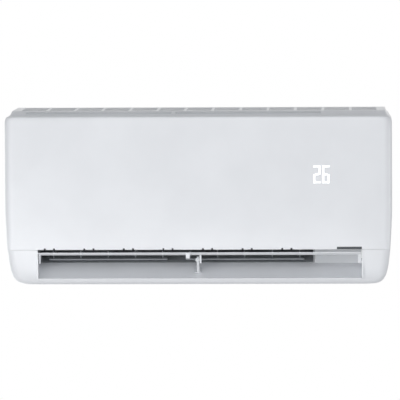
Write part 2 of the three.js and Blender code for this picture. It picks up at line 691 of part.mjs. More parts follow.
function ductRoof() {
  const sheet = sheetOutline([tongueTip, roofRear, roofFront], DUCT_ROOF_WALL);
  const flange = [
    point(roofFront.x - 2.5, roofFront.y + 0.6),
    point(roofFront.x, roofFront.y),
    point(roofFront.x, screwHeight + 6),
    point(roofFront.x - 2.5, screwHeight + 6),
  ];
  let roof = join(sidePrism(sheet, ductLeft, ductRight), sidePrism(flange, ductLeft, ductRight));
  const pinHole = (VANE_PIN_RADIUS + RUN_GAP) / Math.cos(Math.PI / 6);
  for (const x of vanePlaces) {
    roof = cut(roof, alongDuct(upright(pinHole, -5, 12, 0, 0, 6), x));
  }
  for (const x of screwPlaces) {
    roof = cut(roof, depthBar(SCREW_RADIUS + 0.3, roofFront.x - 4, roofFront.x + 1, x, screwHeight, 8));
  }
  return roof;
}

// ---- Drain tray under the front coil ----
const trayFront = coilFront + TRAY_WALL + 2.2;
const trayRear = coilRear - 4;
const trayFloor = roofHeight(trayRear) + 7;
const trayTop = trayFloor + TRAY_HEIGHT;
const filterBottom = trayTop + FILTER_TRAY_GAP;
const spigotCentre = point(coilFront - 6, trayFloor + TRAY_WALL + SPIGOT_RADIUS - 2);

const trayLeft = cheekLeft + 1;
const trayRight = cheekRight + 2;

function drainTray() {
  const outline = [
    point(trayRear, trayFloor),
    point(trayFront, trayFloor),
    point(trayFront, trayTop),
    point(trayFront - TRAY_WALL, trayTop),
    point(trayFront - TRAY_WALL, trayFloor + TRAY_WALL),
    point(trayRear + TRAY_WALL, trayFloor + TRAY_WALL),
    point(trayRear + TRAY_WALL, trayFloor + 7),
    point(trayRear, trayFloor + 7),
  ];
  const endWall = [
    point(trayRear, trayFloor),
    point(trayFront, trayFloor),
    point(trayFront, trayFloor + 15),
    point(trayRear, trayFloor + 7),
  ];
  const foot = [
    point(trayRear + 1, trayFloor + 0.5),
    point(trayRear + 1, roofHeight(trayRear + 1) + DUCT_ROOF_WALL / Math.cos(ductTurn) + FIT_GAP),
    point(trayFront - 3, roofHeight(trayFront - 3) + DUCT_ROOF_WALL / Math.cos(ductTurn) + FIT_GAP),
    point(trayFront - 3, trayFloor + 0.5),
  ];
  let tray = join(
    sidePrism(outline, trayLeft, trayRight),
    sidePrism(endWall, trayLeft, trayLeft + TRAY_WALL),
    sidePrism(endWall, trayRight - TRAY_WALL, trayRight),
  );
  for (let i = 0; i < 5; i += 1) {
    const x = vanePlaces[0] + vanePitch * (0.5 + 2 * i);
    tray = join(tray, sidePrism(foot, x - 1.5, x + 1.5));
  }
  tray = join(
    tray,
    bar(SPIGOT_RADIUS, trayLeft - SPIGOT_LENGTH, trayLeft + 1, spigotCentre, 10),
    bar(SPIGOT_RADIUS, trayRight - 1, trayRight + SPIGOT_LENGTH - 4, spigotCentre, 10),
  );
  return cut(
    tray,
    bar(SPIGOT_RADIUS - SPIGOT_WALL, trayLeft - SPIGOT_LENGTH - 1, trayLeft + 3, spigotCentre, 10),
    bar(SPIGOT_RADIUS - SPIGOT_WALL, trayRight - 3, trayRight + SPIGOT_LENGTH, spigotCentre, 10),
  );
}

function drainCap() {
  const left = trayLeft - SPIGOT_LENGTH;
  const profile = [
    [left - 3, 0],
    [left - 3, SPIGOT_RADIUS + 2],
    [left + 9, SPIGOT_RADIUS + 2],
    [left + 9, SPIGOT_RADIUS + FIT_GAP],
    [left - FIT_GAP, SPIGOT_RADIUS + FIT_GAP],
    [left - FIT_GAP, 0],
  ];
  return turned(profile, spigotCentre, 10);
}

function blankingCover() {
  const rear = floorRear.x + 0.5;
  const front = rear + 2.5;
  const floorAt = (depth) => lip.y + ((lip.x - depth) * (floorRear.y - lip.y)) / DUCT_FLOOR_DEPTH;
  const outline = [
    point(rear, floorAt(rear) + FIT_GAP),
    point(front, floorAt(front) + FIT_GAP),
    point(front, roofHeight(front) - 6),
    point(rear, roofHeight(front) - 6),
  ];
  const rim = [
    point(rear - 9, roofHeight(front) - 8.5),
    point(front, roofHeight(front) - 8.5),
    point(front, roofHeight(front) - 6),
    point(rear - 9, roofHeight(front) - 6),
  ];
  const left = cheekRight + CHASSIS_WALL + FIT_GAP;
  const right = outletRight - FIT_GAP;
  return join(sidePrism(outline, left, right), sidePrism(rim, left, right));
}

// ---- Coil: three slabs round the fan, end plates with return bends ----
const coilMiddle = (coilFront + coilRear) / 2;
const coilShoulder = FAN_HEIGHT + fanRadius + COIL_OVER_FAN;
const slabs = {
  evaporator_front_lower: [point(coilMiddle, trayFloor + COIL_FOOT), point(coilMiddle, coilShoulder)],
  evaporator_front_upper: [
    point(coilMiddle - 3, coilShoulder + COIL_JOINT),
    point(fanCentre.x + COIL_THICKNESS, HEIGHT - COIL_ROOF),
  ],
  evaporator_rear: [
    point(fanCentre.x - fanRadius - 1, coilShoulder + COIL_JOINT - 3),
    point(fanCentre.x - 2, HEIGHT - COIL_ROOF - 1),
  ],
};
const coilLeft = fanLeft + 2;
const coilRight = fanRight;

function coilSlab([start, end], finSide) {
  const half = COIL_THICKNESS / 2;
  const count = Math.floor((coilRight - coilLeft - 10) / COIL_FIN_PITCH);
  const outline = [new THREE.Vector2(coilLeft, half), new THREE.Vector2(coilLeft, -half)];
  for (let i = 0; i < count; i += 1) {
    const x = coilLeft + 10 + i * COIL_FIN_PITCH;
    outline.push(new THREE.Vector2(x, -half));
    outline.push(new THREE.Vector2(x, COIL_FIN_DEPTH - half));
    outline.push(new THREE.Vector2(x + 2.5, COIL_FIN_DEPTH - half));
    outline.push(new THREE.Vector2(x + 2.5, -half));
  }
  outline.push(new THREE.Vector2(coilRight, -half), new THREE.Vector2(coilRight, half));
  const shape = new THREE.Shape(outline.map((p) => new THREE.Vector2(p.x, p.y * finSide)));
  const run = end.clone().sub(start);
  const slab = new THREE.ExtrudeGeometry(shape, { depth: run.length(), bevelEnabled: false });
  slab.rotateX(Math.atan2(run.x, run.y));
  return toSolid(slab.translate(0, -start.x, start.y));
}

function returnBend(from, to, x, side) {
  const middle = from.clone().add(to).multiplyScalar(0.5);
  const half = to.clone().sub(from).multiplyScalar(0.5);
  const radius = half.length();
  const points = Array.from({ length: 4 }, (_, i) => {
    const angle = (Math.PI * i) / 3;
    const along = half.clone().multiplyScalar(-Math.cos(angle));
    const centre = middle.clone().add(along);
    return new THREE.Vector3(x + side * radius * Math.sin(angle), -centre.x, centre.y);
  });
  return tube(new Route(points), COIL_TUBE_RADIUS, 3, 5);
}

// A solid tube along a curve.
function tube(path, radius, steps, sides) {
  const section = new THREE.Shape(
    Array.from({ length: sides }, (_, i) => {
      const angle = (2 * Math.PI * i) / sides;
      return new THREE.Vector2(radius * Math.cos(angle), radius * Math.sin(angle));
    }),
  );
  return toSolid(new THREE.ExtrudeGeometry(section, { steps, bevelEnabled: false, extrudePath: path }));
}

function coilEnd(side) {
  const face = side < 0 ? coilLeft - FIT_GAP - COIL_PLATE : coilRight + FIT_GAP;
  const plates = Object.values(slabs).map(([start, end]) =>
    sidePrism(strip(start, end, COIL_THICKNESS / 2 + 0.5, 4), face, face + COIL_PLATE),
  );
  const apex = strip(slabs.evaporator_front_upper[1], slabs.evaporator_rear[1], COIL_THICKNESS / 3, 4);
  let plate = join(...plates, sidePrism(apex, face, face + COIL_PLATE));
  for (const [start, end] of Object.values(slabs)) {
    for (const [low, high] of [[0.14, 0.34], [0.66, 0.86]]) {
      const from = start.clone().lerp(end, low);
      const to = start.clone().lerp(end, high);
      plate = join(plate, returnBend(from, to, face + COIL_PLATE / 2, side));
    }
  }
  const coilSide = side < 0 ? face + COIL_PLATE : face;
  return cut(plate, block(coilSide, coilSide - side * 9, -1, DEPTH, 0, HEIGHT));
}

// ---- Fan ----
function fanBlade() {
  const inner = fanRadius - 11;
  const middle = fanRadius - 5.5;
  const outer = fanRadius - 0.5;
  const sweep = [0, 3.2, 10.5];
  const line = [inner, middle, outer].map((radius, i) => {
    const angle = THREE.MathUtils.degToRad(sweep[i]);
    return point(radius * Math.cos(angle), radius * Math.sin(angle));
  });
  return sheetOutline(line, FAN_BLADE_THICKNESS);
}

function crossFlowFan() {
  const blade = fanBlade();
  const discSpacing = (fanRight - fanLeft - FAN_DISC_THICKNESS) / (FAN_DISCS - 1);
  const discs = [];
  for (let i = 0; i < FAN_DISCS; i += 1) {
    const x = fanLeft + i * discSpacing;
    const disc = bar(fanRadius, x, x + FAN_DISC_THICKNESS, fanCentre, 20);
    const isEnd = i === 0 || i === FAN_DISCS - 1;
    const eye = bar(fanRadius - 14, x - 1, x + FAN_DISC_THICKNESS + 1, fanCentre, 12);
    discs.push(isEnd ? disc : cut(disc, eye));
  }
  let fan = join(...discs);
  for (let i = 0; i < FAN_BLADES; i += 1) {
    const turn = (2 * Math.PI * i) / FAN_BLADES;
    const turnedBlade = blade.map((p) => p.clone().rotateAround(new THREE.Vector2(), turn).add(fanCentre));
    fan = join(fan, sidePrism(turnedBlade, fanLeft + 1, fanRight - 1));
  }
  const hub = bar(14, fanRight - 16, fanRight + 9, fanCentre, 16);
  const leftHub = bar(10, fanLeft, fanLeft + 14, fanCentre, 16);
  return cut(
    join(fan, hub, leftHub),
    bore(SHAFT_RADIUS + 0.3, fanRight - 12, fanRight + 10, fanCentre),
    bore(SHAFT_RADIUS + 0.3, fanLeft - 1, fanLeft + 11, fanCentre),
  );
}

const fanEndPin = () => bar(SHAFT_RADIUS, cheekLeft - 9, fanLeft + 10.5, fanCentre);
const bearingOuter = SHAFT_RADIUS + BEARING_WALL;

function fanBearing() {
  const ring = bar(bearingOuter, cheekLeft - 7, cheekLeft + 2, fanCentre);
  return cut(ring, bore(SHAFT_RADIUS + 0.08, cheekLeft - 8, cheekLeft + 3, fanCentre));
}

function bearingRubber() {
  const inner = (bearingOuter + 0.3) / Math.cos(Math.PI / 12);
  const profile = [
    [cheekLeft - 7, inner],
    [cheekLeft - 7, 16],
    [cheekLeft - CHASSIS_WALL - FIT_GAP, 16],
    [cheekLeft - CHASSIS_WALL - FIT_GAP, RUBBER_NECK],
    [cheekLeft + FIT_GAP, RUBBER_NECK],
    [cheekLeft + FIT_GAP, 15],
    [cheekLeft + 2, 15],
    [cheekLeft + 2, inner],
    [cheekLeft - 7, inner],
  ];
  return turned(profile, fanCentre, 12);
}

// ---- Motor ----
const cradleLeft = cheekRight + CHASSIS_WALL + 9;
const bodyLeft = cradleLeft + CRADLE_WALL + 4;
const bodyRight = bodyLeft + MOTOR_LENGTH;
const cradleRight = bodyRight + 4;

function fanMotor() {
  const bossLeft = cradleLeft - 2;
  const bossRight = cradleRight + CRADLE_WALL + 2;
  const shaftBore = SHAFT_RADIUS + 0.3;
  const profile = [
    [bodyLeft + 16, 0],
    [bodyLeft + 16, shaftBore],
    [bossLeft, shaftBore],
    [bossLeft, MOTOR_BOSS_RADIUS],
    [bodyLeft, MOTOR_BOSS_RADIUS],
    [bodyLeft, motorRadius - 4],
    [bodyLeft + 4, motorRadius],
    [bodyRight - 4, motorRadius],
    [bodyRight, motorRadius - 4],
    [bodyRight, MOTOR_BOSS_RADIUS],
    [bossRight, MOTOR_BOSS_RADIUS],
    [bossRight, 0],
  ];
  return turned(profile, fanCentre, 16);
}

const motorShaft = () => bar(SHAFT_RADIUS, fanRight - 11, bodyLeft + 15, fanCentre);

function motorRing(plateLeft) {
  const inner = (MOTOR_BOSS_RADIUS + 0.3) / Math.cos(Math.PI / 16);
  const outer = MOTOR_BOSS_RADIUS + MOTOR_RING;
  const profile = [
    [plateLeft, inner],
    [plateLeft + CRADLE_WALL, inner],
    [plateLeft + CRADLE_WALL, outer],
    [plateLeft, outer],
    [plateLeft, inner],
  ];
  return turned(profile, fanCentre, 16);
}

const seatRadius = MOTOR_BOSS_RADIUS + MOTOR_RING + FIT_GAP;
const cradleTop = fanCentre.y + CRADLE_HALF;
const cradleBottom = fanCentre.y - CRADLE_HALF;

function motorClamp() {
  const rear = fanCentre.x + FIT_GAP;
  const front = fanCentre.x + motorRadius + 4.5;
  const side = [
    point(rear, cradleBottom),
    point(front, cradleBottom + 13),
    point(front, cradleTop - 13),
    point(rear, cradleTop),
  ];
  const earTop = point(rear + 2.5, cradleTop + 9);
  const walls = [cradleLeft, cradleRight].map((x) =>
    join(
      sidePrism(side, x, x + CRADLE_WALL),
      block(x - 3, x + CRADLE_WALL + 3, rear, earTop.x, cradleTop - 4, earTop.y),
      block(x - 3, x + CRADLE_WALL + 3, rear, earTop.x, cradleBottom - 9, cradleBottom + 4),
    ),
  );
  const right = cradleRight + CRADLE_WALL;
  const bridge = block(cradleLeft, right, front - 2.5, front, cradleBottom + 14, cradleTop - 14);
  const seat = bore(seatRadius, cradleLeft - 5, right + 5, fanCentre, 20);
  return cut(join(...walls, bridge), seat);
}

// ---- Rear chassis: back, scroll round the fan, cheeks, motor cradle, hanging hook ----
function scrollRadius(degrees) {
  const startRadius = fanRadius + FAN_CLEARANCE;
  return startRadius * Math.exp(SCROLL_GROWTH * THREE.MathUtils.degToRad(degrees - SCROLL_START));
}

function scrollLine() {
  const steps = 9;
  return Array.from({ length: steps + 1 }, (_, i) => {
    const degrees = SCROLL_START + (SCROLL_SWEEP * i) / steps;
    const angle = THREE.MathUtils.degToRad(degrees);
    const radius = scrollRadius(degrees);
    return point(fanCentre.x + radius * Math.cos(angle), fanCentre.y + radius * Math.sin(angle));
  });
}

const scrollStart = scrollLine()[0];
const troughHeight = FAN_HEIGHT + 42;

function rearChassis() {
  const half = WIDTH / 2 - CHASSIS_END_ROOM;
  const back = block(-half, half, CHASSIS_BACK, chassisFront, CHASSIS_BOTTOM, HEIGHT - CHASSIS_TOP_ROOM);
  const line = [
    point(scrollStart.x, troughHeight + 6),
    ...scrollLine(),
    point(floorRear.x - FIT_GAP, floorRear.y + 0.3),
  ];
  const left = cheekLeft - CHASSIS_WALL;
  const right = cheekRight + CHASSIS_WALL;
  const scroll = sidePrism(sheetOutline(line, -CHASSIS_WALL), left, right);
  const trough = block(
    left, right, CHASSIS_BACK + 1, scrollStart.x, troughHeight - CHASSIS_WALL, troughHeight,
  );
  const insideScroll = sheetOutline(line, -CHASSIS_WALL / 2).slice(line.length).reverse();
  const cheek = [
    line[0],
    ...insideScroll,
    line[line.length - 1],
    point(floorRear.x - FIT_GAP, roofHeight(floorRear.x) - 2),
    ...arc(fanCentre, fanRadius + 5, -28, SCROLL_START - 15, 9),
  ];
  let chassis = join(back, scroll, trough);
  for (const x of [left, cheekRight]) {
    chassis = join(chassis, sidePrism(cheek, x, x + CHASSIS_WALL));
  }
  for (const x of [cradleLeft, cradleRight]) {
    const cradle = block(x, x + CRADLE_WALL, CHASSIS_BACK + 1, fanCentre.x, cradleBottom, cradleTop);
    const pads = join(
      block(x - 3, x + CRADLE_WALL + 3, fanCentre.x - 3, fanCentre.x, cradleTop - 4, cradleTop + 9),
      block(x - 3, x + CRADLE_WALL + 3, fanCentre.x - 3, fanCentre.x, cradleBottom - 9, cradleBottom + 4),
    );
    chassis = join(chassis, cradle, pads);
  }
  const hook = join(
    block(-PLATE_WIDTH / 2, PLATE_WIDTH / 2, 2.2, CHASSIS_BACK + 1, hookTop - 2.5, hookTop),
    block(-PLATE_WIDTH / 2, PLATE_WIDTH / 2, 2.2, 5.2, hookTop - 9, hookTop),
  );
  const legs = [-1, 1].map((side) => {
    const inner = (LEG_SPACING / 2) * side;
    const left = Math.min(inner, inner + LEG_WIDTH * side);
    return block(left, left + LEG_WIDTH, CHASSIS_BACK, chassisFront, LEG_BOTTOM, CHASSIS_BOTTOM + 2);
  });
  chassis = join(chassis, hook, ...legs);
  const outletFloor = strip(lip, floorRear, OUTLET_WALL + FIT_GAP, FIT_GAP);
  return cut(
    chassis,
    sidePrism(outletFloor, left - 1, right + 1),
    bore(seatRadius, cradleLeft - 1, cradleRight + CRADLE_WALL + 1, fanCentre, 20),
    bore(RUBBER_NECK + FIT_GAP, left - 1, cheekLeft + 1, fanCentre),
    bore(MOTOR_BOSS_RADIUS - 3, cheekRight - 1, right + 1, fanCentre),
  );
}

// ---- Wall plate: stamped steel sheet with hooks folded from its top edge ----
function wallPlate() {
  const half = PLATE_WIDTH / 2;
  const bottom = PLATE_BOTTOM;
  const top = plateTop;
  const outline = new THREE.Shape([
    new THREE.Vector2(-half, bottom + 20),
    new THREE.Vector2(-half + 20, bottom),
    new THREE.Vector2(half - 20, bottom),
    new THREE.Vector2(half, bottom + 20),
    new THREE.Vector2(half, top),
    new THREE.Vector2(-half, top),
  ]);
  for (const height of [bottom + 30, top - 30]) {
    for (let x = -half + 30; x <= half - 29; x += 133) {
      outline.holes.push(new THREE.Path().absellipse(x, height, 4, 4, 0, 2 * Math.PI));
    }
  }
  const geometry = new THREE.ExtrudeGeometry(outline, {
    depth: PLATE_THICKNESS, bevelEnabled: false, curveSegments: 2,
  });
  let plate = toSolid(geometry.rotateX(Math.PI / 2));
  for (const x of [-170, 0, 170]) {
    const fold = join(
      block(x - 25, x + 25, 0, CHASSIS_BACK - 2, top - PLATE_THICKNESS, top),
      block(x - 25, x + 25, CHASSIS_BACK - 2 - PLATE_THICKNESS, CHASSIS_BACK - 2, top - 1, top + 7),
    );
    plate = join(plate, fold);
  }
  for (const x of [-175, 175]) {
    plate = join(plate, block(x - 15, x + 15, 0, CHASSIS_BACK - 2, bottom, bottom + PLATE_THICKNESS));
  }
  return plate;
}

// ---- Refrigerant pipes, from the coil's right end down and left behind the scroll ----
// A route whose rings fall on its own points, so that straight runs take no extra ones.
class Route extends THREE.Curve {
  constructor(points) {
    super();
    this.points = points;
  }
  getPoint(t, target = new THREE.Vector3()) {
    const place = t * (this.points.length - 1);
    const i = Math.min(Math.floor(place), this.points.length - 2);
    return target.copy(this.points[i]).lerp(this.points[i + 1], place - i);
  }
  getTangent(t, target = new THREE.Vector3()) {
    const last = this.points.length - 1;
    const place = Math.round(t * last);
    const here = this.points[place];
    const before = here.clone().sub(this.points[Math.max(place - 1, 0)]).normalize();
    const after = this.points[Math.min(place + 1, last)].clone().sub(here).normalize();
    return target.copy(before.add(after)).normalize();
  }
  getUtoTmapping(u) {
    return u;
  }
}

// Corners of a polyline turned into bends of a few steps each.
function bendCorners(corners, radius, steps = 4) {
  const points = [corners[0]];
  for (let i = 1; i < corners.length - 1; i += 1) {
    const towards = (to) => {
      const run = to.clone().sub(corners[i]);
      return corners[i].clone().addScaledVector(run.normalize(), radius);
    };
    const before = towards(corners[i - 1]);
    const after = towards(corners[i + 1]);
    points.push(...new THREE.QuadraticBezierCurve3(before, corners[i], after).getPoints(steps));
  }
  points.push(corners.at(-1));
  return new Route(points);
}

function pipeTube({ radius, lane }, startShare) {
  const start = slabs.evaporator_rear[0].clone().lerp(slabs.evaporator_rear[1], startShare);
  const dropX = cradleLeft + CRADLE_WALL + lane.step;
  const corners = [
    new THREE.Vector3(coilFace + FIT_GAP, -start.x, start.y),
    new THREE.Vector3(dropX, -start.x, start.y),
    new THREE.Vector3(dropX, -lane.depth, start.y - lane.fall),
    new THREE.Vector3(dropX, -lane.depth, lane.height),
    new THREE.Vector3(PIPE_END, -lane.depth, lane.height),
  ];
  const route = bendCorners(corners, 2.4 * radius);
  return tube(route, radius, route.points.length - 1, 6);
}

const coilFace = coilRight + FIT_GAP + COIL_PLATE;
const pipeDepth = chassisFront + PIPE_WALL_ROOM;
const suctionLane = { step: 22, depth: pipeDepth, height: PIPE_HEIGHT, fall: 40 };
const liquidLane = { step: 9, depth: pipeDepth, height: PIPE_HEIGHT + PIPE_SPACING, fall: 20 };
const pipes = {
  suction: { radius: SUCTION_RADIUS, lane: suctionLane },
  liquid: { radius: LIQUID_RADIUS, lane: liquidLane },
};
const suctionPipe = () => pipeTube(pipes.suction, 0.5);
const liquidPipe = () => pipeTube(pipes.liquid, 0.03);

function flareNut({ radius, lane }) {
  const centre = point(lane.depth, lane.height);
  const right = PIPE_END - FIT_GAP;
  const nut = bar(radius + NUT_WALL, right - NUT_LENGTH, right, centre, 6);
  return cut(nut, bar(radius, right - NUT_LENGTH - 1, right - 6, centre, 10));
}

function pipeClamp() {
  const { suction, liquid } = pipes;
  const low = suction.lane.height - 12;
  const high = liquid.lane.height + 10;
  const right = CLAMP_LEFT + CLAMP_WIDTH;
  const plate = block(CLAMP_LEFT, right, chassisFront + FIT_GAP, chassisFront + 26, low, high);
  return cut(
    plate,
    bore(suction.radius + 0.5, CLAMP_LEFT - 1, right + 1, point(suction.lane.depth, suction.lane.height), 8),
    bore(liquid.radius + 0.5, CLAMP_LEFT - 1, right + 1, point(liquid.lane.depth, liquid.lane.height), 8),
  );
}

// ---- Electrical box ----
const electricRear = fanCentre.x + motorRadius + 8;
const electricFront = filterFront - 3;

function electricalBox() {
  const shell = block(electricLeft, electricRight, electricRear, electricFront, electricBottom, electricTop);
  const room = block(
    electricLeft + ELECTRIC_WALL, electricRight - ELECTRIC_WALL,
    electricRear + ELECTRIC_WALL, electricFront + 1,
    electricBottom + ELECTRIC_WALL, electricTop - ELECTRIC_WALL,
  );
  const wireWay = block(
    electricLeft - 1, electricLeft + ELECTRIC_WALL + 1, electricRear + 6, electricRear + 14,
    electricTop - 92, electricTop - 62,
  );
  return cut(shell, room, wireWay);
}

const buttonCentre = new THREE.Vector2((electricLeft + electricRight) / 2, electricBottom + BUTTON_RISE);

function electricalCover() {
  const rear = electricFront + FIT_GAP;
  const lid = block(electricLeft, electricRight, rear, rear + 2, electricBottom, electricTop);
  const collar = depthBar(BUTTON_RADIUS + 3, rear + 1, rear + 5, buttonCentre.x, buttonCentre.y, 14);
  const hole = depthBar(BUTTON_RADIUS + 0.4, rear - 1, rear + 6, buttonCentre.x, buttonCentre.y, 14);
  return cut(join(lid, collar), hole);
}

function manualButton() {
  const rear = electricFront + FIT_GAP;
  const { x, y } = buttonCentre;
  const cap = depthBar(BUTTON_RADIUS, rear - 2, rear + 8, x, y, 14);
  const skirt = depthBar(BUTTON_RADIUS + 2, rear - 3.5, rear - 0.4, x, y, 14);
  return join(cap, skirt);
}

function mainBoard() {
  const rear = electricRear + 5;
  const left = electricLeft + BOARD_EDGE;
  const right = electricRight - BOARD_EDGE;
  const top = electricTop - BOARD_EDGE;
  // a component that stands on the board: its left edge and top edge from the board's, its sizes
  const component = (across, down, width, drop, standOff) =>
    block(left + across, left + across + width, rear + 1, rear + standOff, top - down - drop, top - down);
  const board = block(left, right, rear, rear + BOARD_THICKNESS, electricBottom + BOARD_RISE, top);
  const relay = component(18, 13, 20, 20, 16);
  const transformer = component(46, 18, 36, 34, 20);
  const chip = component(41, 68, 30, 30, 3.4);
  const capacitor = depthBar(8, rear + 1, rear + 20, left + 18, top - 66, 12);
  const postHeight = electricBottom + BOARD_RISE + 28;
  const posts = [left + 8, right - 8].map((x) =>
    depthBar(3, electricRear + ELECTRIC_WALL + FIT_GAP, rear + 1, x, postHeight, 8),
  );
  return join(board, relay, transformer, capacitor, chip, ...posts);
}

function terminalBlock() {
  const rear = electricRear + 2 + FIT_GAP;
  const left = electricLeft + 12;
  const right = electricRight - 12;
  let body = block(left, right, rear, rear + 16, electricBottom + 6, electricBottom + 28);
  for (let i = 0; i < 5; i += 1) {
    const x = left + 4 + i * 14.2;
    body = cut(body, block(x, x + 9, rear + 8, rear + 17, electricBottom + 10, electricBottom + 24));
  }
  return body;
}

// ---- Louvre ----
function louvreCurve(lift, steps = 6) {
  const along = new THREE.Vector2(Math.cos(tilt), Math.sin(tilt));
  const up = new THREE.Vector2(-along.y, along.x);
  return Array.from({ length: steps + 1 }, (_, i) => {
    const t = (2 * i) / steps - 1;
    const sag = -LOUVRE_SAG * (1 - t * t);
    const thin = lift * (1 - 0.55 * t * t);
    return louvreMiddle
      .clone()
      .addScaledVector(along, (t * LOUVRE_CHORD) / 2)
      .addScaledVector(up, sag + thin);
  });
}

const louvreLeft = outletLeft + 1;
const louvreRight = outletRight - 1;

function louvreArm(from, to) {
  const middle = louvreMiddle;
  const outline = [
    point(middle.x - 17, middle.y - LOUVRE_SAG + 0.6),
    ...arc(louvrePivot, LOUVRE_PIN_RADIUS + 3.4, 200, 340, 4),
    point(middle.x + 17, middle.y - LOUVRE_SAG + 2.4),
  ];
  return sidePrism(outline, from, to);
}

const supportX = (outletLeft + outletRight) / 2 + LOUVRE_SUPPORT_OFFSET;

function louvreBlade() {
  const lower = louvreCurve(-LOUVRE_THICKNESS / 2);
  const upper = louvreCurve(LOUVRE_THICKNESS / 2).reverse();
  let blade = join(
    sidePrism([...lower, ...upper], louvreLeft, louvreRight),
    louvreArm(louvreLeft, louvreLeft + LOUVRE_ARM_WALL),
    louvreArm(louvreRight - 2 * LOUVRE_ARM_WALL, louvreRight),
    louvreArm(supportX - LOUVRE_ARM_WALL / 2, supportX + LOUVRE_ARM_WALL / 2),
    bar(LOUVRE_PIN_RADIUS, louvreLeft - 9, louvreLeft + 1, louvrePivot, 14),
    bar(LOUVRE_PIN_RADIUS, supportX - 9, supportX, louvrePivot, 14),
  );
  for (const centre of notchCentres) {
    for (const shift of [-NOTCH_SPACING / 2, NOTCH_SPACING / 2]) {
      const rib = [
        point(louvreMiddle.x - 15, louvreMiddle.y - 2.4),
        point(louvreMiddle.x + 15, louvreMiddle.y - 0.6),
        point(louvreMiddle.x + 12, louvreMiddle.y + 1.6),
        point(louvreMiddle.x - 12, louvreMiddle.y - 0.1),
      ];
      blade = join(blade, sidePrism(rib, centre + shift - 0.8, centre + shift + 0.8));
    }
  }
  const socket = bore(LOUVRE_PIN_RADIUS - 0.5 + 0.3, louvreRight - 4.5, louvreRight + 1, louvrePivot, 14);
  return cut(blade, socket);
}

const louvreShaft = () => bar(LOUVRE_PIN_RADIUS - 0.5, louvreRight - 4, motorFace + 5, louvrePivot, 14);

function louvreBush() {
  const left = outletLeft - OUTLET_WALL;
  const profile = [
    [left - 3, LOUVRE_PIN_RADIUS + 0.5],
    [outletLeft - 0.2, LOUVRE_PIN_RADIUS + 0.5],
    [outletLeft - 0.2, LOUVRE_PIN_RADIUS + 2.1],
    [left - FIT_GAP, LOUVRE_PIN_RADIUS + 2.1],
    [left - FIT_GAP, LOUVRE_PIN_RADIUS + 5],
    [left - 3, LOUVRE_PIN_RADIUS + 5],
    [left - 3, LOUVRE_PIN_RADIUS + 0.5],
  ];
  return turned(profile, louvrePivot, 14);
}

function louvreMotor() {
  const can = bar(LOUVRE_MOTOR_RADIUS, motorFace, motorFace + LOUVRE_MOTOR_LENGTH, louvrePivot, 16);
  return cut(can, bore(LOUVRE_PIN_RADIUS - 0.5 + 0.3, motorFace - 1, motorFace + 5.5, louvrePivot, 14));
}

// Bracket on the duct floor that holds the louvre's middle pin.
function louvreSupport() {
  const towardsFloor = new THREE.Vector2(-DUCT_FLOOR_DEPTH, DUCT_FLOOR_REAR - LIP_HEIGHT).normalize();
  const normal = new THREE.Vector2(towardsFloor.y, -towardsFloor.x);
  const reach = louvrePivot.clone().sub(lip).dot(normal) - FIT_GAP;
  const foot = louvrePivot.clone().addScaledVector(normal, -reach);
  const footRear = foot.clone().addScaledVector(towardsFloor, 13);
  const footFront = foot.clone().addScaledVector(towardsFloor, -2);
  const outline = [
    footFront,
    ...arc(louvrePivot, LOUVRE_PIN_RADIUS + 3, -50, 190, 10),
    footRear,
  ];
  const from = supportX - LOUVRE_ARM_WALL / 2 - 5.5;
  const plate = sidePrism(outline, from, from + 4.5);
  const pad = [
    footFront,
    footFront.clone().addScaledVector(normal, 2.5),
    footRear.clone().addScaledVector(normal, 2.5),
    footRear,
  ];
  const base = sidePrism(pad, from - 5, from + 9);
  return cut(join(plate, base), bore(LOUVRE_PIN_RADIUS + RUN_GAP, from - 1, from + 6, louvrePivot, 14));
}

// ---- Vanes ----
function vane(x) {
  const half = VANE_LENGTH / 2;
  const outline = [
    point(half, vaneBottom + 9),
    point(half - 5, vaneBottom),
    point(-vaneRear, vaneBottom),
    point(-half, vaneBottom + 5),
    point(-half, VANE_TOP - 16),
    point(-half + 9, VANE_TOP),
    point(half - 6, VANE_TOP),
    point(half, VANE_TOP - 8),
  ];
  const plate = sidePrism(outline, -VANE_THICKNESS / 2, VANE_THICKNESS / 2);
  const pin = upright(VANE_PIN_RADIUS, VANE_TOP - 6, DUCT_ROOF_WALL + 1.6, 0, 0, 6);
  const peg = upright(LINK_PEG_RADIUS, vaneBottom - LINK_THICKNESS - 1.6, vaneBottom + 3, 0, LINK_ARM, 6);
  return alongDuct(join(plate, pin, peg), x);
}

function vaneLink(places) {
  const top = vaneBottom - 0.8;
  const left = places[0] - 8;
  const right = places.at(-1) + 8;
  const frontEdge = LINK_ARM + LINK_WIDTH / 2;
  const rearEdge = LINK_ARM - LINK_WIDTH / 2 - 0.8;
  let link = block(left, right, rearEdge, frontEdge, top - LINK_THICKNESS, top);
  for (const x of places) {
    link = cut(link, block(x - 2, x + 2, LINK_ARM - 3.8, LINK_ARM + 1.7, top - LINK_THICKNESS - 1, top + 1));
  }
  return alongDuct(link);
}

// ---- Filters: ribbed frames with a net, pulled up out of the top ----
function filter(centre) {
  const left = centre - filterWidth / 2;
  const right = centre + filterWidth / 2;
  const top = HEIGHT - 1.5;
  let frame = block(left, right, filterRear, filterFront, filterBottom, top);
  const stepX = (right - left - 8) / FILTER_COLUMNS;
  const stepZ = (top - 16 - filterBottom) / FILTER_ROWS;
  for (let column = 0; column < FILTER_COLUMNS; column += 1) {
    for (let row = 0; row < FILTER_ROWS; row += 1) {
      const x = left + 4 + column * stepX + FILTER_RIB / 2;
      const z = filterBottom + 4 + row * stepZ + FILTER_RIB / 2;
      frame = cut(
        frame,
        block(x, x + stepX - FILTER_RIB, filterRear + FILTER_NET, DEPTH, z, z + stepZ - FILTER_RIB),
      );
    }
  }
  return frame;
}

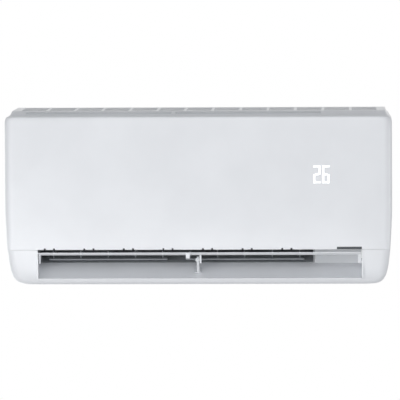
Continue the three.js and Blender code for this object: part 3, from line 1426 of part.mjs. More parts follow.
// ---- Sensors and screws ----
function coilSensor() {
  const radius = 3;
  const [start, end] = slabs.evaporator_front_lower;
  const centre = start.clone().lerp(end, 0.5);
  const x = coilFace + FIT_GAP + radius;
  const rod = new THREE.CylinderGeometry(radius, radius, 16, 10);
  rod.rotateX(Math.PI / 2);
  return toSolid(rod.translate(x, -centre.x, centre.y));
}

function frameScrew(x) {
  const profile = [
    [0, plateFront + 2.6],
    [3.2, plateFront + 1.6],
    [4.2, plateFront + 0.3],
    [SCREW_RADIUS, plateFront + 0.3],
    [SCREW_RADIUS, roofFront.x - 4.5],
    [0, roofFront.x - 5.5],
  ];
  const lathe = new THREE.LatheGeometry(
    profile.map(([radius, depth]) => new THREE.Vector2(radius, -depth)),
    8,
  );
  return toSolid(lathe.translate(x, 0, screwHeight));
}

// ---- The assembly ----
addPiece('wall_plate', wallPlate(), zincSteel);
addPiece('rear_chassis', rearChassis(), darkPlastic);
addPiece('front_frame', frontFrame(), whitePlastic);
addPiece('front_panel', frontPanel(), whitePlastic);
addPiece('display_housing', displayHousing(), whiteMatt);
addPiece('display_board', displayBoard(), circuitGreen);
addPiece('duct_roof', ductRoof(), darkPlastic);
addPiece('drain_tray', drainTray(), whiteMatt);
addPiece('drain_cap', drainCap(), rubber);
addPiece('outlet_blanking_cover', blankingCover(), whitePlastic);
for (const [name, line] of Object.entries(slabs)) {
  addPiece(name, coilSlab(line, name === 'evaporator_rear' ? -1 : 1), finAluminium);
}
addPiece('evaporator_end_left', coilEnd(-1), copper);
addPiece('evaporator_end_right', coilEnd(1), copper);
addPiece('suction_pipe', suctionPipe(), copper);
addPiece('liquid_pipe', liquidPipe(), copper);
addPiece('suction_flare_nut', flareNut(pipes.suction), brass);
addPiece('liquid_flare_nut', flareNut(pipes.liquid), brass);
addPiece('pipe_clamp', pipeClamp(), darkPlastic);
addPiece('coil_sensor', coilSensor(), copper);
addPiece('cross_flow_fan', crossFlowFan(), fanPlastic);
addPiece('fan_end_pin', fanEndPin(), steel);
addPiece('fan_bearing', fanBearing(), steel);
addPiece('bearing_rubber', bearingRubber(), rubber);
addPiece('fan_motor', fanMotor(), zincSteel);
addPiece('motor_shaft', motorShaft(), steel);
addPiece('motor_ring_left', motorRing(cradleLeft), rubber);
addPiece('motor_ring_right', motorRing(cradleRight), rubber);
addPiece('motor_clamp', motorClamp(), whiteMatt);
addPiece('electrical_box', electricalBox(), whiteMatt);
addPiece('electrical_cover', electricalCover(), whiteMatt);
addPiece('main_board', mainBoard(), circuitGreen);
addPiece('terminal_block', terminalBlock(), rubber);
addPiece('manual_button', manualButton(), whitePlastic);
addPiece('louvre_blade', louvreBlade(), whitePlastic);
addPiece('louvre_drive_shaft', louvreShaft(), steel);
addPiece('louvre_bush', louvreBush(), whiteMatt);
addPiece('louvre_motor', louvreMotor(), zincSteel);
addPiece('louvre_centre_support', louvreSupport(), whitePlastic);
vanePlaces.forEach((x, i) => addPiece(`vane_${i + 1}`, vane(x), darkPlastic));
addPiece('vane_link_left', vaneLink(vanePlaces.slice(0, VANE_COUNT / 2)), darkPlastic);
addPiece('vane_link_right', vaneLink(vanePlaces.slice(VANE_COUNT / 2)), darkPlastic);
addPiece('filter_left', filter(filterCentres[0]), filterGrey);
addPiece('filter_right', filter(filterCentres[1]), filterGrey);
screwPlaces.forEach((x, i) => addPiece(`frame_screw_${i + 1}`, frameScrew(x), zincSteel));

export default unit;
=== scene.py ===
import math

import bpy
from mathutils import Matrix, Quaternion, Vector


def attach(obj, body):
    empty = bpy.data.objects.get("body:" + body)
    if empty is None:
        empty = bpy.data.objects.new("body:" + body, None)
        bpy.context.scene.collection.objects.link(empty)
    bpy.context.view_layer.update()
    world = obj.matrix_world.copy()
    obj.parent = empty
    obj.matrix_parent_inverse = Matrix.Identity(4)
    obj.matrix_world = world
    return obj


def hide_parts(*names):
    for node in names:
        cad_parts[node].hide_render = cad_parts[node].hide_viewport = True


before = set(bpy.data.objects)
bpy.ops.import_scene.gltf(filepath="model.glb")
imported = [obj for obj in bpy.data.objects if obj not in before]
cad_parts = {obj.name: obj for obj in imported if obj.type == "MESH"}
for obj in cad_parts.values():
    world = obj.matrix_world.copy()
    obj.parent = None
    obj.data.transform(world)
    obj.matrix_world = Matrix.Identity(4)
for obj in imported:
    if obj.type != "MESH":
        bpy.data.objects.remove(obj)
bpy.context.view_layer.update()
print("frame loaded")

# The unit is drawn here as it is measured: across (x), out from the wall (depth) and up from its
# lowest point (height), in millimetres. Blender's y runs into the wall, and z starts at the wall
# plate's middle, so place() turns one into the other.
plateMiddle = 195


def mm(value):
    return value / 1000


def place(x, depth, height):
    return Vector((mm(x), -mm(depth), mm(height - plateMiddle)))


print("setting the camera")
# far off behind a long lens, so that the unit shows hardly any perspective
cameraView = {"from": (0.27, -9.0, 0.463), "at": (0.0032, -0.2, -0.039), "lens": 439.6, "roll": 0.25}
bpy.ops.object.camera_add(location=cameraView["from"])
camera = bpy.context.object
camera.name = "camera"
sight = Vector(cameraView["at"]) - camera.location
aimed = sight.to_track_quat("-Z", "Y") @ Quaternion((0, 0, 1), math.radians(-cameraView["roll"]))
camera.rotation_euler = aimed.to_euler()
camera.data.lens = cameraView["lens"]
bpy.context.scene.camera = camera


def linear(hexColour):
    # a colour given in screen values, turned to the light values that Blender mixes
    channels = [int(hexColour[i:i + 2], 16) / 255 for i in (1, 3, 5)]
    return [c / 12.92 if c <= 0.04045 else ((c + 0.055) / 1.055) ** 2.4 for c in channels] + [1.0]


def addNode(tree, kind, settings=None, links=None):
    # settings go to the node's properties or, by name or number, to its sockets
    node = tree.nodes.new(kind)
    for key, value in (settings or {}).items():
        if isinstance(key, str) and hasattr(node, key):
            setattr(node, key, value)
        else:
            node.inputs[key].default_value = value
    for key, source in (links or {}).items():
        tree.links.new(source, node.inputs[key])
    return node


def setRamp(ramp, stops):
    for i, (position, hexColour) in enumerate(stops):
        if i > 1:
            ramp.color_ramp.elements.new(position)
        ramp.color_ramp.elements[i].position = position
        ramp.color_ramp.elements[i].color = linear(hexColour)


def startFinish(name, roughness, metallic=0.0, coat=0.0):
    finish = bpy.data.materials.new(name)
    finish.use_nodes = True
    tree = finish.node_tree
    shader = tree.nodes["Principled BSDF"]
    shader.inputs["Roughness"].default_value = roughness
    shader.inputs["Metallic"].default_value = metallic
    shader.inputs["Coat Weight"].default_value = coat
    objectPlace = addNode(tree, "ShaderNodeTexCoord").outputs["Object"]
    return finish, tree, shader, objectPlace


def plasticFinish(name, darker, lighter, roughness, spread, grain, relief, ior=1.53):
    # moulded plastic: tone drift from the melt, in waves of some 110 mm, and the fine spark-eroded grain of
    # the tool
    finish, tree, shader, objectPlace = startFinish(name, roughness)
    shader.inputs["IOR"].default_value = ior
    drift = addNode(tree, "ShaderNodeTexNoise", {"Scale": 9.0, "Detail": 3.0}, {"Vector": objectPlace})
    tone = addNode(tree, "ShaderNodeValToRGB", None, {"Fac": drift.outputs["Fac"]})
    setRamp(tone, [(0.35, darker), (0.65, lighter)])
    tree.links.new(tone.outputs["Color"], shader.inputs["Base Color"])
    grainNoise = addNode(
        tree, "ShaderNodeTexNoise", {"Scale": 1 / mm(grain), "Detail": 2.0}, {"Vector": objectPlace})
    gloss = addNode(
        tree, "ShaderNodeMapRange", {"To Min": roughness - spread, "To Max": roughness + spread},
        {"Value": grainNoise.outputs["Fac"]})
    tree.links.new(gloss.outputs["Result"], shader.inputs["Roughness"])
    bump = addNode(
        tree, "ShaderNodeBump", {"Strength": 0.35, "Distance": mm(relief)},
        {"Height": grainNoise.outputs["Fac"]})
    tree.links.new(bump.outputs["Normal"], shader.inputs["Normal"])
    return finish


def metalFinish(name, darker, lighter, roughness, spread, stretch, scale, relief):
    # metal: tone and gloss follow the marks that drawing, turning or grinding leaves. The scale is how many
    # lie in a metre, and a stretch of 30 along x packs them there to less than 1 mm.
    finish, tree, shader, objectPlace = startFinish(name, roughness, metallic=1.0)
    marksPlace = addNode(tree, "ShaderNodeMapping", {"Scale": stretch}, {"Vector": objectPlace})
    marks = addNode(
        tree, "ShaderNodeTexNoise", {"Scale": scale, "Detail": 5.0},
        {"Vector": marksPlace.outputs["Vector"]})
    tone = addNode(tree, "ShaderNodeValToRGB", None, {"Fac": marks.outputs["Fac"]})
    setRamp(tone, [(0.3, darker), (0.7, lighter)])
    tree.links.new(tone.outputs["Color"], shader.inputs["Base Color"])
    gloss = addNode(
        tree, "ShaderNodeMapRange", {"To Min": roughness - spread, "To Max": roughness + spread},
        {"Value": marks.outputs["Fac"]})
    tree.links.new(gloss.outputs["Result"], shader.inputs["Roughness"])
    bump = addNode(
        tree, "ShaderNodeBump", {"Strength": 0.3, "Distance": mm(relief)}, {"Height": marks.outputs["Fac"]})
    tree.links.new(bump.outputs["Normal"], shader.inputs["Normal"])
    return finish


print("mixing the finishes")
# ABS, polished tool: near-white, faintly cool, with a soft satin shine. Its grain and that of the other
# plastics is 0.1 to 0.3 mm wide, and drawn at 0.7 to 1.1 mm so that it shows.
casingAbs = plasticFinish(
    "casingAbs", "#e9ebee", "#edeff2", roughness=0.3, spread=0.05, grain=0.8, relief=0.02)
# HIPS, matt tool: a little greyer and duller than the casing
innerHips = plasticFinish(
    "innerHips", "#d3d6d9", "#dbdde0", roughness=0.5, spread=0.08, grain=1.0, relief=0.05)
# grey ABS of the duct and chassis: matt, so the outlet reads as a shadow
ductAbs = plasticFinish(
    "ductAbs", "#a9adb1", "#b1b5b9", roughness=0.55, spread=0.08, grain=1.1, relief=0.05)
# a shaded copy of the same plastic for the vanes and the links that turn them: its darker tone is painted
# shade, so that they sink into the outlet's shadow
vaneAbs = plasticFinish(
    "vaneAbs", "#85898d", "#8d9195", roughness=0.55, spread=0.08, grain=1.1, relief=0.05)
# the strip above the outlet: a dark tone, darker and duller than any of the plastics round it
darkStripFinish = plasticFinish(
    "darkStripFinish", "#43474b", "#4b4f53", roughness=0.6, spread=0.06, grain=0.9, relief=0.02)
# glass-filled AS resin of the fan: near-black with fibre swirls at the surface
fanResin = plasticFinish(
    "fanResin", "#3b3e42", "#484c50", roughness=0.5, spread=0.12, grain=0.7, relief=0.06)
# polypropylene of the filters: grey-blue and waxy
filterPolypropylene = plasticFinish(
    "filterPolypropylene", "#5f6a72", "#69747d",
    roughness=0.45, spread=0.06, grain=1.0, relief=0.03, ior=1.49)
# moulded nitrile rubber: black, dull, with a powdery bloom
mouldedRubber = plasticFinish(
    "mouldedRubber", "#1b1b1c", "#2a2a2b",
    roughness=0.8, spread=0.08, grain=0.9, relief=0.06, ior=1.52)
# drawn copper tube: bright pink-orange that has begun to brown
drawnCopper = metalFinish(
    "drawnCopper", "#b4694a", "#d9916c",
    roughness=0.28, spread=0.1, stretch=(1, 1, 1), scale=60.0, relief=0.02)
# machined brass: yellow, with fine turning marks round the nut
machinedBrass = metalFinish(
    "machinedBrass", "#b08d4a", "#d3b26c",
    roughness=0.25, spread=0.08, stretch=(30, 1, 1), scale=40.0, relief=0.03)
# ground steel: light grey with marks round the shaft
groundSteel = metalFinish(
    "groundSteel", "#8d9094", "#b9bcc0",
    roughness=0.25, spread=0.08, stretch=(30, 1, 1), scale=60.0, relief=0.02)


def paintedLightTowardsLip(finish, fromDepth, toDepth, litColour):
    # painted light and shade: the moulding is painted paler towards the outlet's lip and darker deeper in,
    # where shade falls in the duct
    tree = finish.node_tree
    shader = tree.nodes["Principled BSDF"]
    tone = shader.inputs["Base Color"].links[0].from_socket
    objectPlace = addNode(tree, "ShaderNodeTexCoord").outputs["Object"]
    depth = addNode(tree, "ShaderNodeSeparateXYZ", None, {"Vector": objectPlace}).outputs["Y"]
    share = addNode(
        tree, "ShaderNodeMapRange",
        {"From Min": -mm(fromDepth), "From Max": -mm(toDepth), "interpolation_type": "SMOOTHSTEP"},
        {"Value": depth})
    mixed = addNode(
        tree, "ShaderNodeMix", {"data_type": "RGBA", 7: linear(litColour)},
        {0: share.outputs["Result"], 6: tone})
    tree.links.new(mixed.outputs[2], shader.inputs["Base Color"])


# paints shade onto the duct plastic deep in the outlet, and light towards its lip
paintedLightTowardsLip(ductAbs, fromDepth=132, toDepth=170, litColour="#d2d5d8")


def zincFinish():
    # hot-dip galvanised sheet: overlapping zinc crystals, each a slightly different grey
    crystal = 9
    duller, shinier = 0.46, 0.38
    finish, tree, shader, objectPlace = startFinish("galvanisedSheet", 0.42, metallic=0.9)
    spangle = addNode(
        tree, "ShaderNodeTexVoronoi", {"Scale": 1 / mm(crystal), "Randomness": 1.0},
        {"Vector": objectPlace})
    tone = addNode(tree, "ShaderNodeValToRGB", None, {"Fac": spangle.outputs["Color"]})
    setRamp(tone, [(0.0, "#a1a6aa"), (1.0, "#b4b8bc")])
    tree.links.new(tone.outputs["Color"], shader.inputs["Base Color"])
    gloss = addNode(
        tree, "ShaderNodeMapRange", {"To Min": shinier, "To Max": duller},
        {"Value": spangle.outputs["Color"]})
    tree.links.new(gloss.outputs["Result"], shader.inputs["Roughness"])
    return finish


def finFinish():
    # stamped fin stock: bright fin edges, with painted shade in the gaps between them. The real pitch is
    # 1.3 mm, drawn wider so it shows.
    finish, tree, shader, objectPlace = startFinish("finStock", 0.4, metallic=0.85)
    finPitch = 2.4
    waveTurn = 20  # radians that the wave node runs through in a metre at a scale of 1
    finReliefAndGapShade = addNode(
        tree, "ShaderNodeTexWave", {"Scale": 2 * math.pi / (waveTurn * mm(finPitch)), "Distortion": 0.0},
        {"Vector": objectPlace})
    # the dark stop is painted shade between the fins; the bump gives the fins their relief
    tone = addNode(tree, "ShaderNodeValToRGB", None, {"Fac": finReliefAndGapShade.outputs["Fac"]})
    setRamp(tone, [(0.2, "#5d6266"), (0.75, "#c9ced2")])
    tree.links.new(tone.outputs["Color"], shader.inputs["Base Color"])
    bump = addNode(
        tree, "ShaderNodeBump", {"Strength": 0.9, "Distance": mm(finPitch / 2)},
        {"Height": finReliefAndGapShade.outputs["Fac"]})
    tree.links.new(bump.outputs["Normal"], shader.inputs["Normal"])
    return finish


def boardFinish():
    # solder mask over copper: glossy green, with paler tracks that run in squared cells
    finish, tree, shader, objectPlace = startFinish("solderMask", 0.3, coat=0.4)
    cell = 7
    tracks = addNode(
        tree, "ShaderNodeTexVoronoi",
        {"distance": "CHEBYCHEV", "feature": "F1", "Scale": 1 / mm(cell), "Randomness": 0.7},
        {"Vector": objectPlace})
    tone = addNode(tree, "ShaderNodeValToRGB", None, {"Fac": tracks.outputs["Distance"]})
    setRamp(tone, [(0.3, "#1f5a35"), (0.36, "#3c8a55"), (0.42, "#1b4f2f")])
    tree.links.new(tone.outputs["Color"], shader.inputs["Base Color"])
    return finish


galvanisedSheet = zincFinish()
finStock = finFinish()
solderMask = boardFinish()

# each of the record's finishes, and the material that dresses the CAD nodes that have it
slotFinishes = {
    "white_casing": casingAbs, "white_inner": innerHips, "duct_grey": ductAbs, "fan_black": fanResin,
    "fin_aluminium": finStock, "copper": drawnCopper, "brass": machinedBrass, "shaft_steel": groundSteel,
    "zinc_steel": galvanisedSheet, "rubber": mouldedRubber, "circuit_board": solderMask,
    "filter_mesh": filterPolypropylene,
}
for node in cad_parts.values():
    for materialSlot in node.material_slots:
        materialSlot.material = slotFinishes[materialSlot.material.name]
# the vanes and their links get the darker copy, which paints shade on them
for nodeName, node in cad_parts.items():
    if nodeName.startswith("vane"):
        node.material_slots[0].material = vaneAbs


def makeActive(piece):
    bpy.ops.object.select_all(action="DESELECT")
    piece.select_set(True)
    bpy.context.view_layer.objects.active = piece


def startPiece(name):
    # names the primitive that was just added and leaves only it selected
    piece = bpy.context.object
    piece.name = name
    piece.data.name = name
    makeActive(piece)
    return piece


def edit(piece, steps, faces=None, edges=None):
    # runs edit-mode steps on the faces whose middle passes a test, on the edges whose two ends do, or on
    # the whole piece
    makeActive(piece)
    mesh = piece.data
    for items in (mesh.vertices, mesh.edges, mesh.polygons):
        items.foreach_set("select", [faces is None and edges is None] * len(items))
    if faces:
        for face in mesh.polygons:
            face.select = faces(face.center * 1000)
    if edges:
        for edge in mesh.edges:
            ends = [mesh.vertices[v].co * 1000 for v in edge.vertices]
            edge.select = edges(*ends)
    bpy.ops.object.mode_set(mode="EDIT")
    bpy.ops.mesh.select_mode(type="EDGE" if edges else "FACE")
    for step, settings in steps:
        getattr(bpy.ops.mesh, step)(**settings)
    bpy.ops.object.mode_set(mode="OBJECT")


def applyModifier(piece, kind, **settings):
    makeActive(piece)
    modifier = piece.modifiers.new(kind.lower(), kind)
    for key, value in settings.items():
        setattr(modifier, key, value)
    bpy.ops.object.modifier_apply(modifier=modifier.name)


def loft(name, lines):
    # a grid with one row for each line, each of its points moved to its place
    across, along = len(lines[0]), len(lines)
    bpy.ops.object.select_all(action="DESELECT")
    bpy.ops.mesh.primitive_grid_add(x_subdivisions=across - 1, y_subdivisions=along - 1, size=1)
    piece = startPiece(name)
    points = [place(*p) for line in lines for p in line]
    for vertex, target in zip(piece.data.vertices, points):
        vertex.co = target
    edit(piece, [
        ("remove_doubles", {"threshold": mm(0.02)}), ("normals_make_consistent", {"inside": False})])
    return piece


def drawnBar(name, outline, xFrom, xTo):
    # an outline of depth and height, drawn point by point and extruded along x
    bpy.ops.object.select_all(action="DESELECT")
    bpy.ops.mesh.primitive_circle_add(vertices=len(outline), fill_type="NGON")
    piece = startPiece(name)
    for vertex, (depth, height) in zip(piece.data.vertices, outline):
        vertex.co = place(xFrom, depth, height)
    edit(piece, [
        ("extrude_region_move", {"TRANSFORM_OT_translate": {"value": (mm(xTo - xFrom), 0, 0)}}),
        ("select_all", {"action": "SELECT"}), ("normals_make_consistent", {"inside": False})])
    return piece


def block(name, xFrom, xTo, depthFrom, depthTo, heightFrom, heightTo):
    outline = [
        (depthFrom, heightFrom), (depthTo, heightFrom), (depthTo, heightTo), (depthFrom, heightTo)]
    return drawnBar(name, outline, xFrom, xTo)


def ringOutline(centre, radius, sides, start=0.0, sweep=360.0):
    # points of depth and height on a circle, or on a stretch of it
    count = sides if sweep == 360.0 else sides + 1
    turns = [math.radians(start + sweep * i / sides) for i in range(count)]
    return [(centre[0] + radius * math.cos(turn), centre[1] + radius * math.sin(turn)) for turn in turns]


def rod(name, xFrom, xTo, centre, radius, sides=24):
    return drawnBar(name, ringOutline(centre, radius, sides), xFrom, xTo)


def depthRod(name, x, height, radius, depthFrom, depthTo, sides=20):
    # a rod that points out from the wall
    bpy.ops.object.select_all(action="DESELECT")
    bpy.ops.mesh.primitive_cylinder_add(
        vertices=sides, radius=mm(radius), depth=mm(depthTo - depthFrom),
        location=place(x, (depthFrom + depthTo) / 2, height), rotation=(math.pi / 2, 0, 0))
    piece = startPiece(name)
    bpy.ops.object.transform_apply(location=True, rotation=True, scale=True)
    return piece


def turnedCopy(piece, turn, about):
    # a copy with a mesh of its own, turned about a line along x
    makeActive(piece)
    bpy.ops.object.duplicate(linked=False)
    copy = bpy.context.object
    bpy.ops.transform.rotate(value=turn, orient_axis="X", center_override=place(0, *about))
    bpy.ops.object.transform_apply(location=True, rotation=True, scale=True)
    return copy


def joinInto(piece, others):
    makeActive(piece)
    for other in others:
        other.select_set(True)
    bpy.ops.object.join()


past = 1  # how far a round cutter reaches past what it cuts


def cutAway(piece, tools):
    cutter = tools[0]
    if len(tools) > 1:
        joinInto(cutter, tools[1:])
    applyModifier(piece, "BOOLEAN", object=cutter, operation="DIFFERENCE", solver="EXACT")
    bpy.data.objects.remove(cutter)


def weld(piece, tools):
    for tool in tools:
        applyModifier(piece, "BOOLEAN", object=tool, operation="UNION", solver="EXACT")
        bpy.data.objects.remove(tool)


def finishPiece(piece, body, finish, replaced=(), smoothAngle=35):
    makeActive(piece)
    bpy.ops.object.shade_smooth_by_angle(angle=math.radians(smoothAngle))
    piece.data.materials.clear()
    piece.data.materials.append(finish)
    for face in piece.data.polygons:
        face.material_index = 0
    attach(piece, body)
    if replaced:
        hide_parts(*replaced)


def bezier(points, steps):
    line = []
    for i in range(steps + 1):
        t = i / steps
        level = [Vector(p) for p in points]
        while len(level) > 1:
            level = [a.lerp(b, t) for a, b in zip(level, level[1:])]
        line.append(tuple(level[0]))
    return line


# the side view is a chin, a nearly flat face and a brow, as points of depth and height. The front view
# narrows towards the bottom and rounds off at the shoulder, as points of half width and height.
casingShape = {
    "chin": [(146, 0), (186.12, 0), (202.05, 59.5), (205, 175)], "chinSteps": 36,
    "face": [(205, 175), (205, 220), (203.5, 262), (202.3, 298)], "faceSteps": 6,
    "brow": [(202.2, 302.5), (202.1, 308), (196, 308)], "browSteps": 8,
    "side": [(311, 0), (343.5, 0), (345, 20), (350, 131.25)], "sidePoints": 30,
    "shoulder": [(350, 299), (349.2, 302.6), (347.2, 305.6), (341.5, 308.6), (338, 316)],
    "cornerRadius": 15, "rear": 1, "cornerSteps": 8, "sideSteps": 4, "columnsHalf": 300, "columnsRoom": 4,
    "columns": [-291, -230, -170, -110, -55, 0, 55, 110, 170, 230, 295],
}
chinLine = bezier(casingShape["chin"], casingShape["chinSteps"])
faceLine = bezier(casingShape["face"], casingShape["faceSteps"])
sideLine = bezier(casingShape["side"], casingShape["sidePoints"]) + casingShape["shoulder"]


def halfWidthAt(height):
    for (lowHalf, low), (highHalf, high) in zip(sideLine, sideLine[1:]):
        if low <= height <= high:
            return lowHalf + (highHalf - lowHalf) * (height - low) / (high - low)
    return sideLine[-1][0]


def levelLine(depth, height, rear=casingShape["rear"], radius=casingShape["cornerRadius"]):
    # one level of the casing, from the rear edge on the left, round the front, to that on the right
    half = halfWidthAt(height)
    radius = min(radius, depth - rear)
    steps = casingShape["sideSteps"]
    left = [(-half, rear + (depth - radius - rear) * i / steps, height) for i in range(steps + 1)]
    for i in range(1, casingShape["cornerSteps"] + 1):
        turn = math.radians(90 * i / casingShape["cornerSteps"])
        x = -half + radius - radius * math.cos(turn)
        left.append((x, depth - radius + radius * math.sin(turn), height))
    # the columns between the corners draw together where the casing is narrow
    squeeze = min(1.0, (half - radius - casingShape["columnsRoom"]) / casingShape["columnsHalf"])
    front = [(x * squeeze, depth, height) for x in casingShape["columns"]]
    right = [(-x, y, z) for x, y, z in reversed(left)]
    return left + front + right


print("moulding the front frame")
# The face is behind the panel. The top is the groove above it and the upper edge, as points of depth,
# height and corner radius. The floor is the line on which the lip rolls into the outlet.
frameShape = {
    "wall": 2.5, "outletLeft": -291, "outletRight": 295, "outletTop": 73.4, "parting": (194.7, 65.4),
    "faceDepth": 185.4, "faceHeights": (65.4, 73.4, 110, 160, 210, 260, 290, 297.7), "faceCorner": 3,
    "top": [(179.4, 297.7, 3), (179.4, 307.4, 4), (178.2, 308.8, 5), (166.9, 315.4, 6), (164.4, 316, 6)],
    "lipRoom": 1.5, "floor": [(173.1, 12.5), (171.6, 13.0), (169.6, 14.1), (150, 26), (130, 38)],
}
lipDepth, lipHeight = frameShape["floor"][0]
partingDepth, partingHeight = frameShape["parting"]
frameTop = frameShape["top"][-1][1]


def frameLevels():
    # the chin, with one level just at the lip, and then the levels behind the panel up to the top
    room = frameShape["lipRoom"]
    belowLip = [p for p in chinLine if p[1] < lipHeight - room]
    aboveLip = [p for p in chinLine if lipHeight + room < p[1] < partingHeight - 1]
    levels = belowLip + [(lipDepth, lipHeight)] + aboveLip + [(partingDepth, partingHeight)]
    lines = [levelLine(depth, height) for depth, height in levels]
    for height in frameShape["faceHeights"]:
        lines.append(levelLine(frameShape["faceDepth"], height, radius=frameShape["faceCorner"]))
    for depth, height, corner in frameShape["top"]:
        lines.append(levelLine(depth, height, radius=corner))
    return lines


lipZ, outletTopZ = lipHeight - plateMiddle, frameShape["outletTop"] - plateMiddle
outletLeft, outletRight = frameShape["outletLeft"], frameShape["outletRight"]


def inOutlet(middle):
    return outletLeft < middle.x < outletRight and lipZ < middle.z < outletTopZ


def onLip(one, other):
    left, right = sorted((one.x, other.x))
    return (
        max(abs(one.z - lipZ), abs(other.z - lipZ)) < 0.05
        and left > outletLeft - 0.1 and right < outletRight + 0.1)


def onTop(one, other):
    return min(one.z, other.z) > frameTop - plateMiddle - 0.01


def onBottom(one, other):
    return max(one.z, other.z) < 0.01 - plateMiddle


def frameShell():
    shell = loft("frontFrame", frameLevels())
    edit(shell, [("edge_face_add", {})], edges=onTop)
    edit(shell, [("edge_face_add", {})], edges=onBottom)
    edit(shell, [("delete", {"type": "FACE"})], faces=inOutlet)
    # the lip rolls over into the duct's floor
    rolls = []
    for (depthA, heightA), (depthB, heightB) in zip(frameShape["floor"], frameShape["floor"][1:]):
        move = (0, -mm(depthB - depthA), mm(heightB - heightA))
        rolls.append(("extrude_region_move", {"TRANSFORM_OT_translate": {"value": move}}))
    edit(shell, rolls, edges=onLip)
    edit(shell, [("normals_make_consistent", {"inside": False})])
    applyModifier(shell, "SOLIDIFY", thickness=mm(frameShape["wall"]), offset=-1.0, use_even_offset=True)
    return shell


# the air inlet in the top: bars lie between the rows and ribs between the columns
grille = {
    "rear": 24, "front": 160, "rows": 9, "columns": 13, "bar": 5.2, "rib": 5, "half": 325,
    "below": 6, "above": 3,
}


def grilleSlots():
    tools = []
    rowPitch = (grille["front"] - grille["rear"]) / grille["rows"]
    columnPitch = 2 * grille["half"] / grille["columns"]
    for row in range(grille["rows"]):
        for column in range(grille["columns"]):
            left = -grille["half"] + column * columnPitch + grille["rib"] / 2
            rear = grille["rear"] + row * rowPitch
            tools.append(block(
                "slot", left, left + columnPitch - grille["rib"], rear, rear + rowPitch - grille["bar"],
                frameTop - grille["below"], frameTop + grille["above"]))
    return tools


# the panel's hinge: a lug of the frame, an ear of the panel beside it, and the ear's pin in the lug's bore
hinge = {
    "centre": (188, 300.5), "lug": (301.5, 305.5), "lugRadius": 4.3, "lugRear": 184.4, "bore": 2.25,
    "lugFoot": 10, "lugNeck": (4.4, 3),
    "ear": (296, 300), "pin": (296, 308), "pinRadius": 2,
    "earOutline": [(186.5, 302), (186.5, 298), (197, 286.5), (201, 282.5), (201, 305.5), (189, 305.5)],
}
louvrePivot = (173.013, 45.997)
screws = {"places": (-210, -20, 170), "height": 86, "hole": 2.2}


def onSide(side, span):
    # a span of x on the right side, or its mirror image on the left
    return sorted(side * x for x in span)


def panelLug(side):
    # the frame's lug, in which one of the panel's pins turns
    depth, height = hinge["centre"]
    neckDepth, neckHeight = depth - hinge["lugNeck"][0], height - hinge["lugNeck"][1]
    outline = [(hinge["lugRear"], height - hinge["lugFoot"]), (depth, height - hinge["lugFoot"])]
    outline += ringOutline(hinge["centre"], hinge["lugRadius"], 18, -60, 210)
    outline += [(neckDepth, neckHeight), (hinge["lugRear"], neckHeight)]
    left, right = onSide(side, hinge["lug"])
    lug = drawnBar("lug", outline, left, right)
    cutAway(lug, [rod("pinHole", left - past, right + past, hinge["centre"], hinge["bore"])])
    return lug


frontFrame = frameShell()
# the cheeks close the outlet's ends and carry the louvre
cheek = {
    "wall": 3, "bushHole": 5.4, "shaftHole": 3.4,
    "outline": [
        (168, 9), (180, 12.6), (188, 26), (193.6, 52), (194.4, 65.4), (185.4, 65.4), (185.4, 79),
        (130, 101.9), (130, 35)],
}
cheeks = [
    drawnBar("cheek", cheek["outline"], outletLeft - cheek["wall"], outletLeft),
    drawnBar("cheek", cheek["outline"], outletRight, outletRight + cheek["wall"]),
]
cutAway(cheeks[0], [rod("bushHole", outletLeft - 5, outletLeft + 2, louvrePivot, cheek["bushHole"])])
cutAway(cheeks[1], [rod("shaftHole", outletRight - past, outletRight + 4, louvrePivot, cheek["shaftHole"])])
# left, right, rear, front, bottom and top of what cuts each opening
frameOpenings = {
    "leftWindow": (-307, -53, 178, 190, 94, 288.5),
    "rightWindow": (-37, 217, 178, 190, 94, 288.5),
    "coverWindow": (250, 328, 178, 190, 120, 280),
    "leftFilterSlot": (-312, -48, 169.4, 174.4, 300, 330),
    "rightFilterSlot": (-42, 222, 169.4, 174.4, 300, 330),
    "pipeNotch": (-290, 290, -2, 60, -3, 3.5),
}
openings = [block(name, *box) for name, box in frameOpenings.items()]
openings += [depthRod("screwHole", x, screws["height"], screws["hole"], 180, 190) for x in screws["places"]]
cutAway(frontFrame, openings + grilleSlots())
joinInto(frontFrame, cheeks + [panelLug(-1), panelLug(1)])
finishPiece(frontFrame, "unit", casingAbs, ("front_frame",))

print("moulding the front panel")
panelShape = {
    "wall": 3, "rear": 186, "bottom": (194.9, 65.75), "browRear": (189.5, 308), "rearTop": (186, 308),
}


def panelShell():
    bottomHeight = panelShape["bottom"][1]
    chin = [panelShape["bottom"]] + [p for p in chinLine if p[1] > bottomHeight + 1]
    brow = bezier(casingShape["brow"], casingShape["browSteps"])[1:]
    levels = chin + faceLine[1:] + brow + [panelShape["browRear"], panelShape["rearTop"]]
    shell = loft("frontPanel", [levelLine(depth, height, panelShape["rear"]) for depth, height in levels])
    applyModifier(shell, "SOLIDIFY", thickness=mm(panelShape["wall"]), offset=-1.0, use_even_offset=True)
    return shell


# the small notches in the panel's bottom edge stand in pairs, and each has a rib of the louvre below it
notch = {
    "width": 3.4, "height": 2.8, "spacing": 16.6, "pairs": 7, "pitch": 71.6, "first": -270,
    "rear": 184, "front": 206, "below": 1.75,
}
notchPlaces = [
    notch["first"] + i * notch["pitch"] + shift
    for i in range(notch["pairs"]) for shift in (-notch["spacing"] / 2, notch["spacing"] / 2)]


def panelNotch(x):
    left, bottom = x - notch["width"] / 2, panelShape["bottom"][1]
    return block(
        "notch", left, left + notch["width"], notch["rear"], notch["front"], bottom - notch["below"],
        bottom + notch["height"])


def panelEar(side):
    # the ear inside the panel and the pin that snaps into the frame's lug
    return [
        drawnBar("ear", hinge["earOutline"], *onSide(side, hinge["ear"])),
        rod("pin", *onSide(side, hinge["pin"]), hinge["centre"], hinge["pinRadius"])]


frontPanel = panelShell()
cutAway(frontPanel, [panelNotch(x) for x in notchPlaces])
joinInto(frontPanel, panelEar(-1) + panelEar(1))
finishPiece(frontPanel, "panel", casingAbs, ("front_panel",))

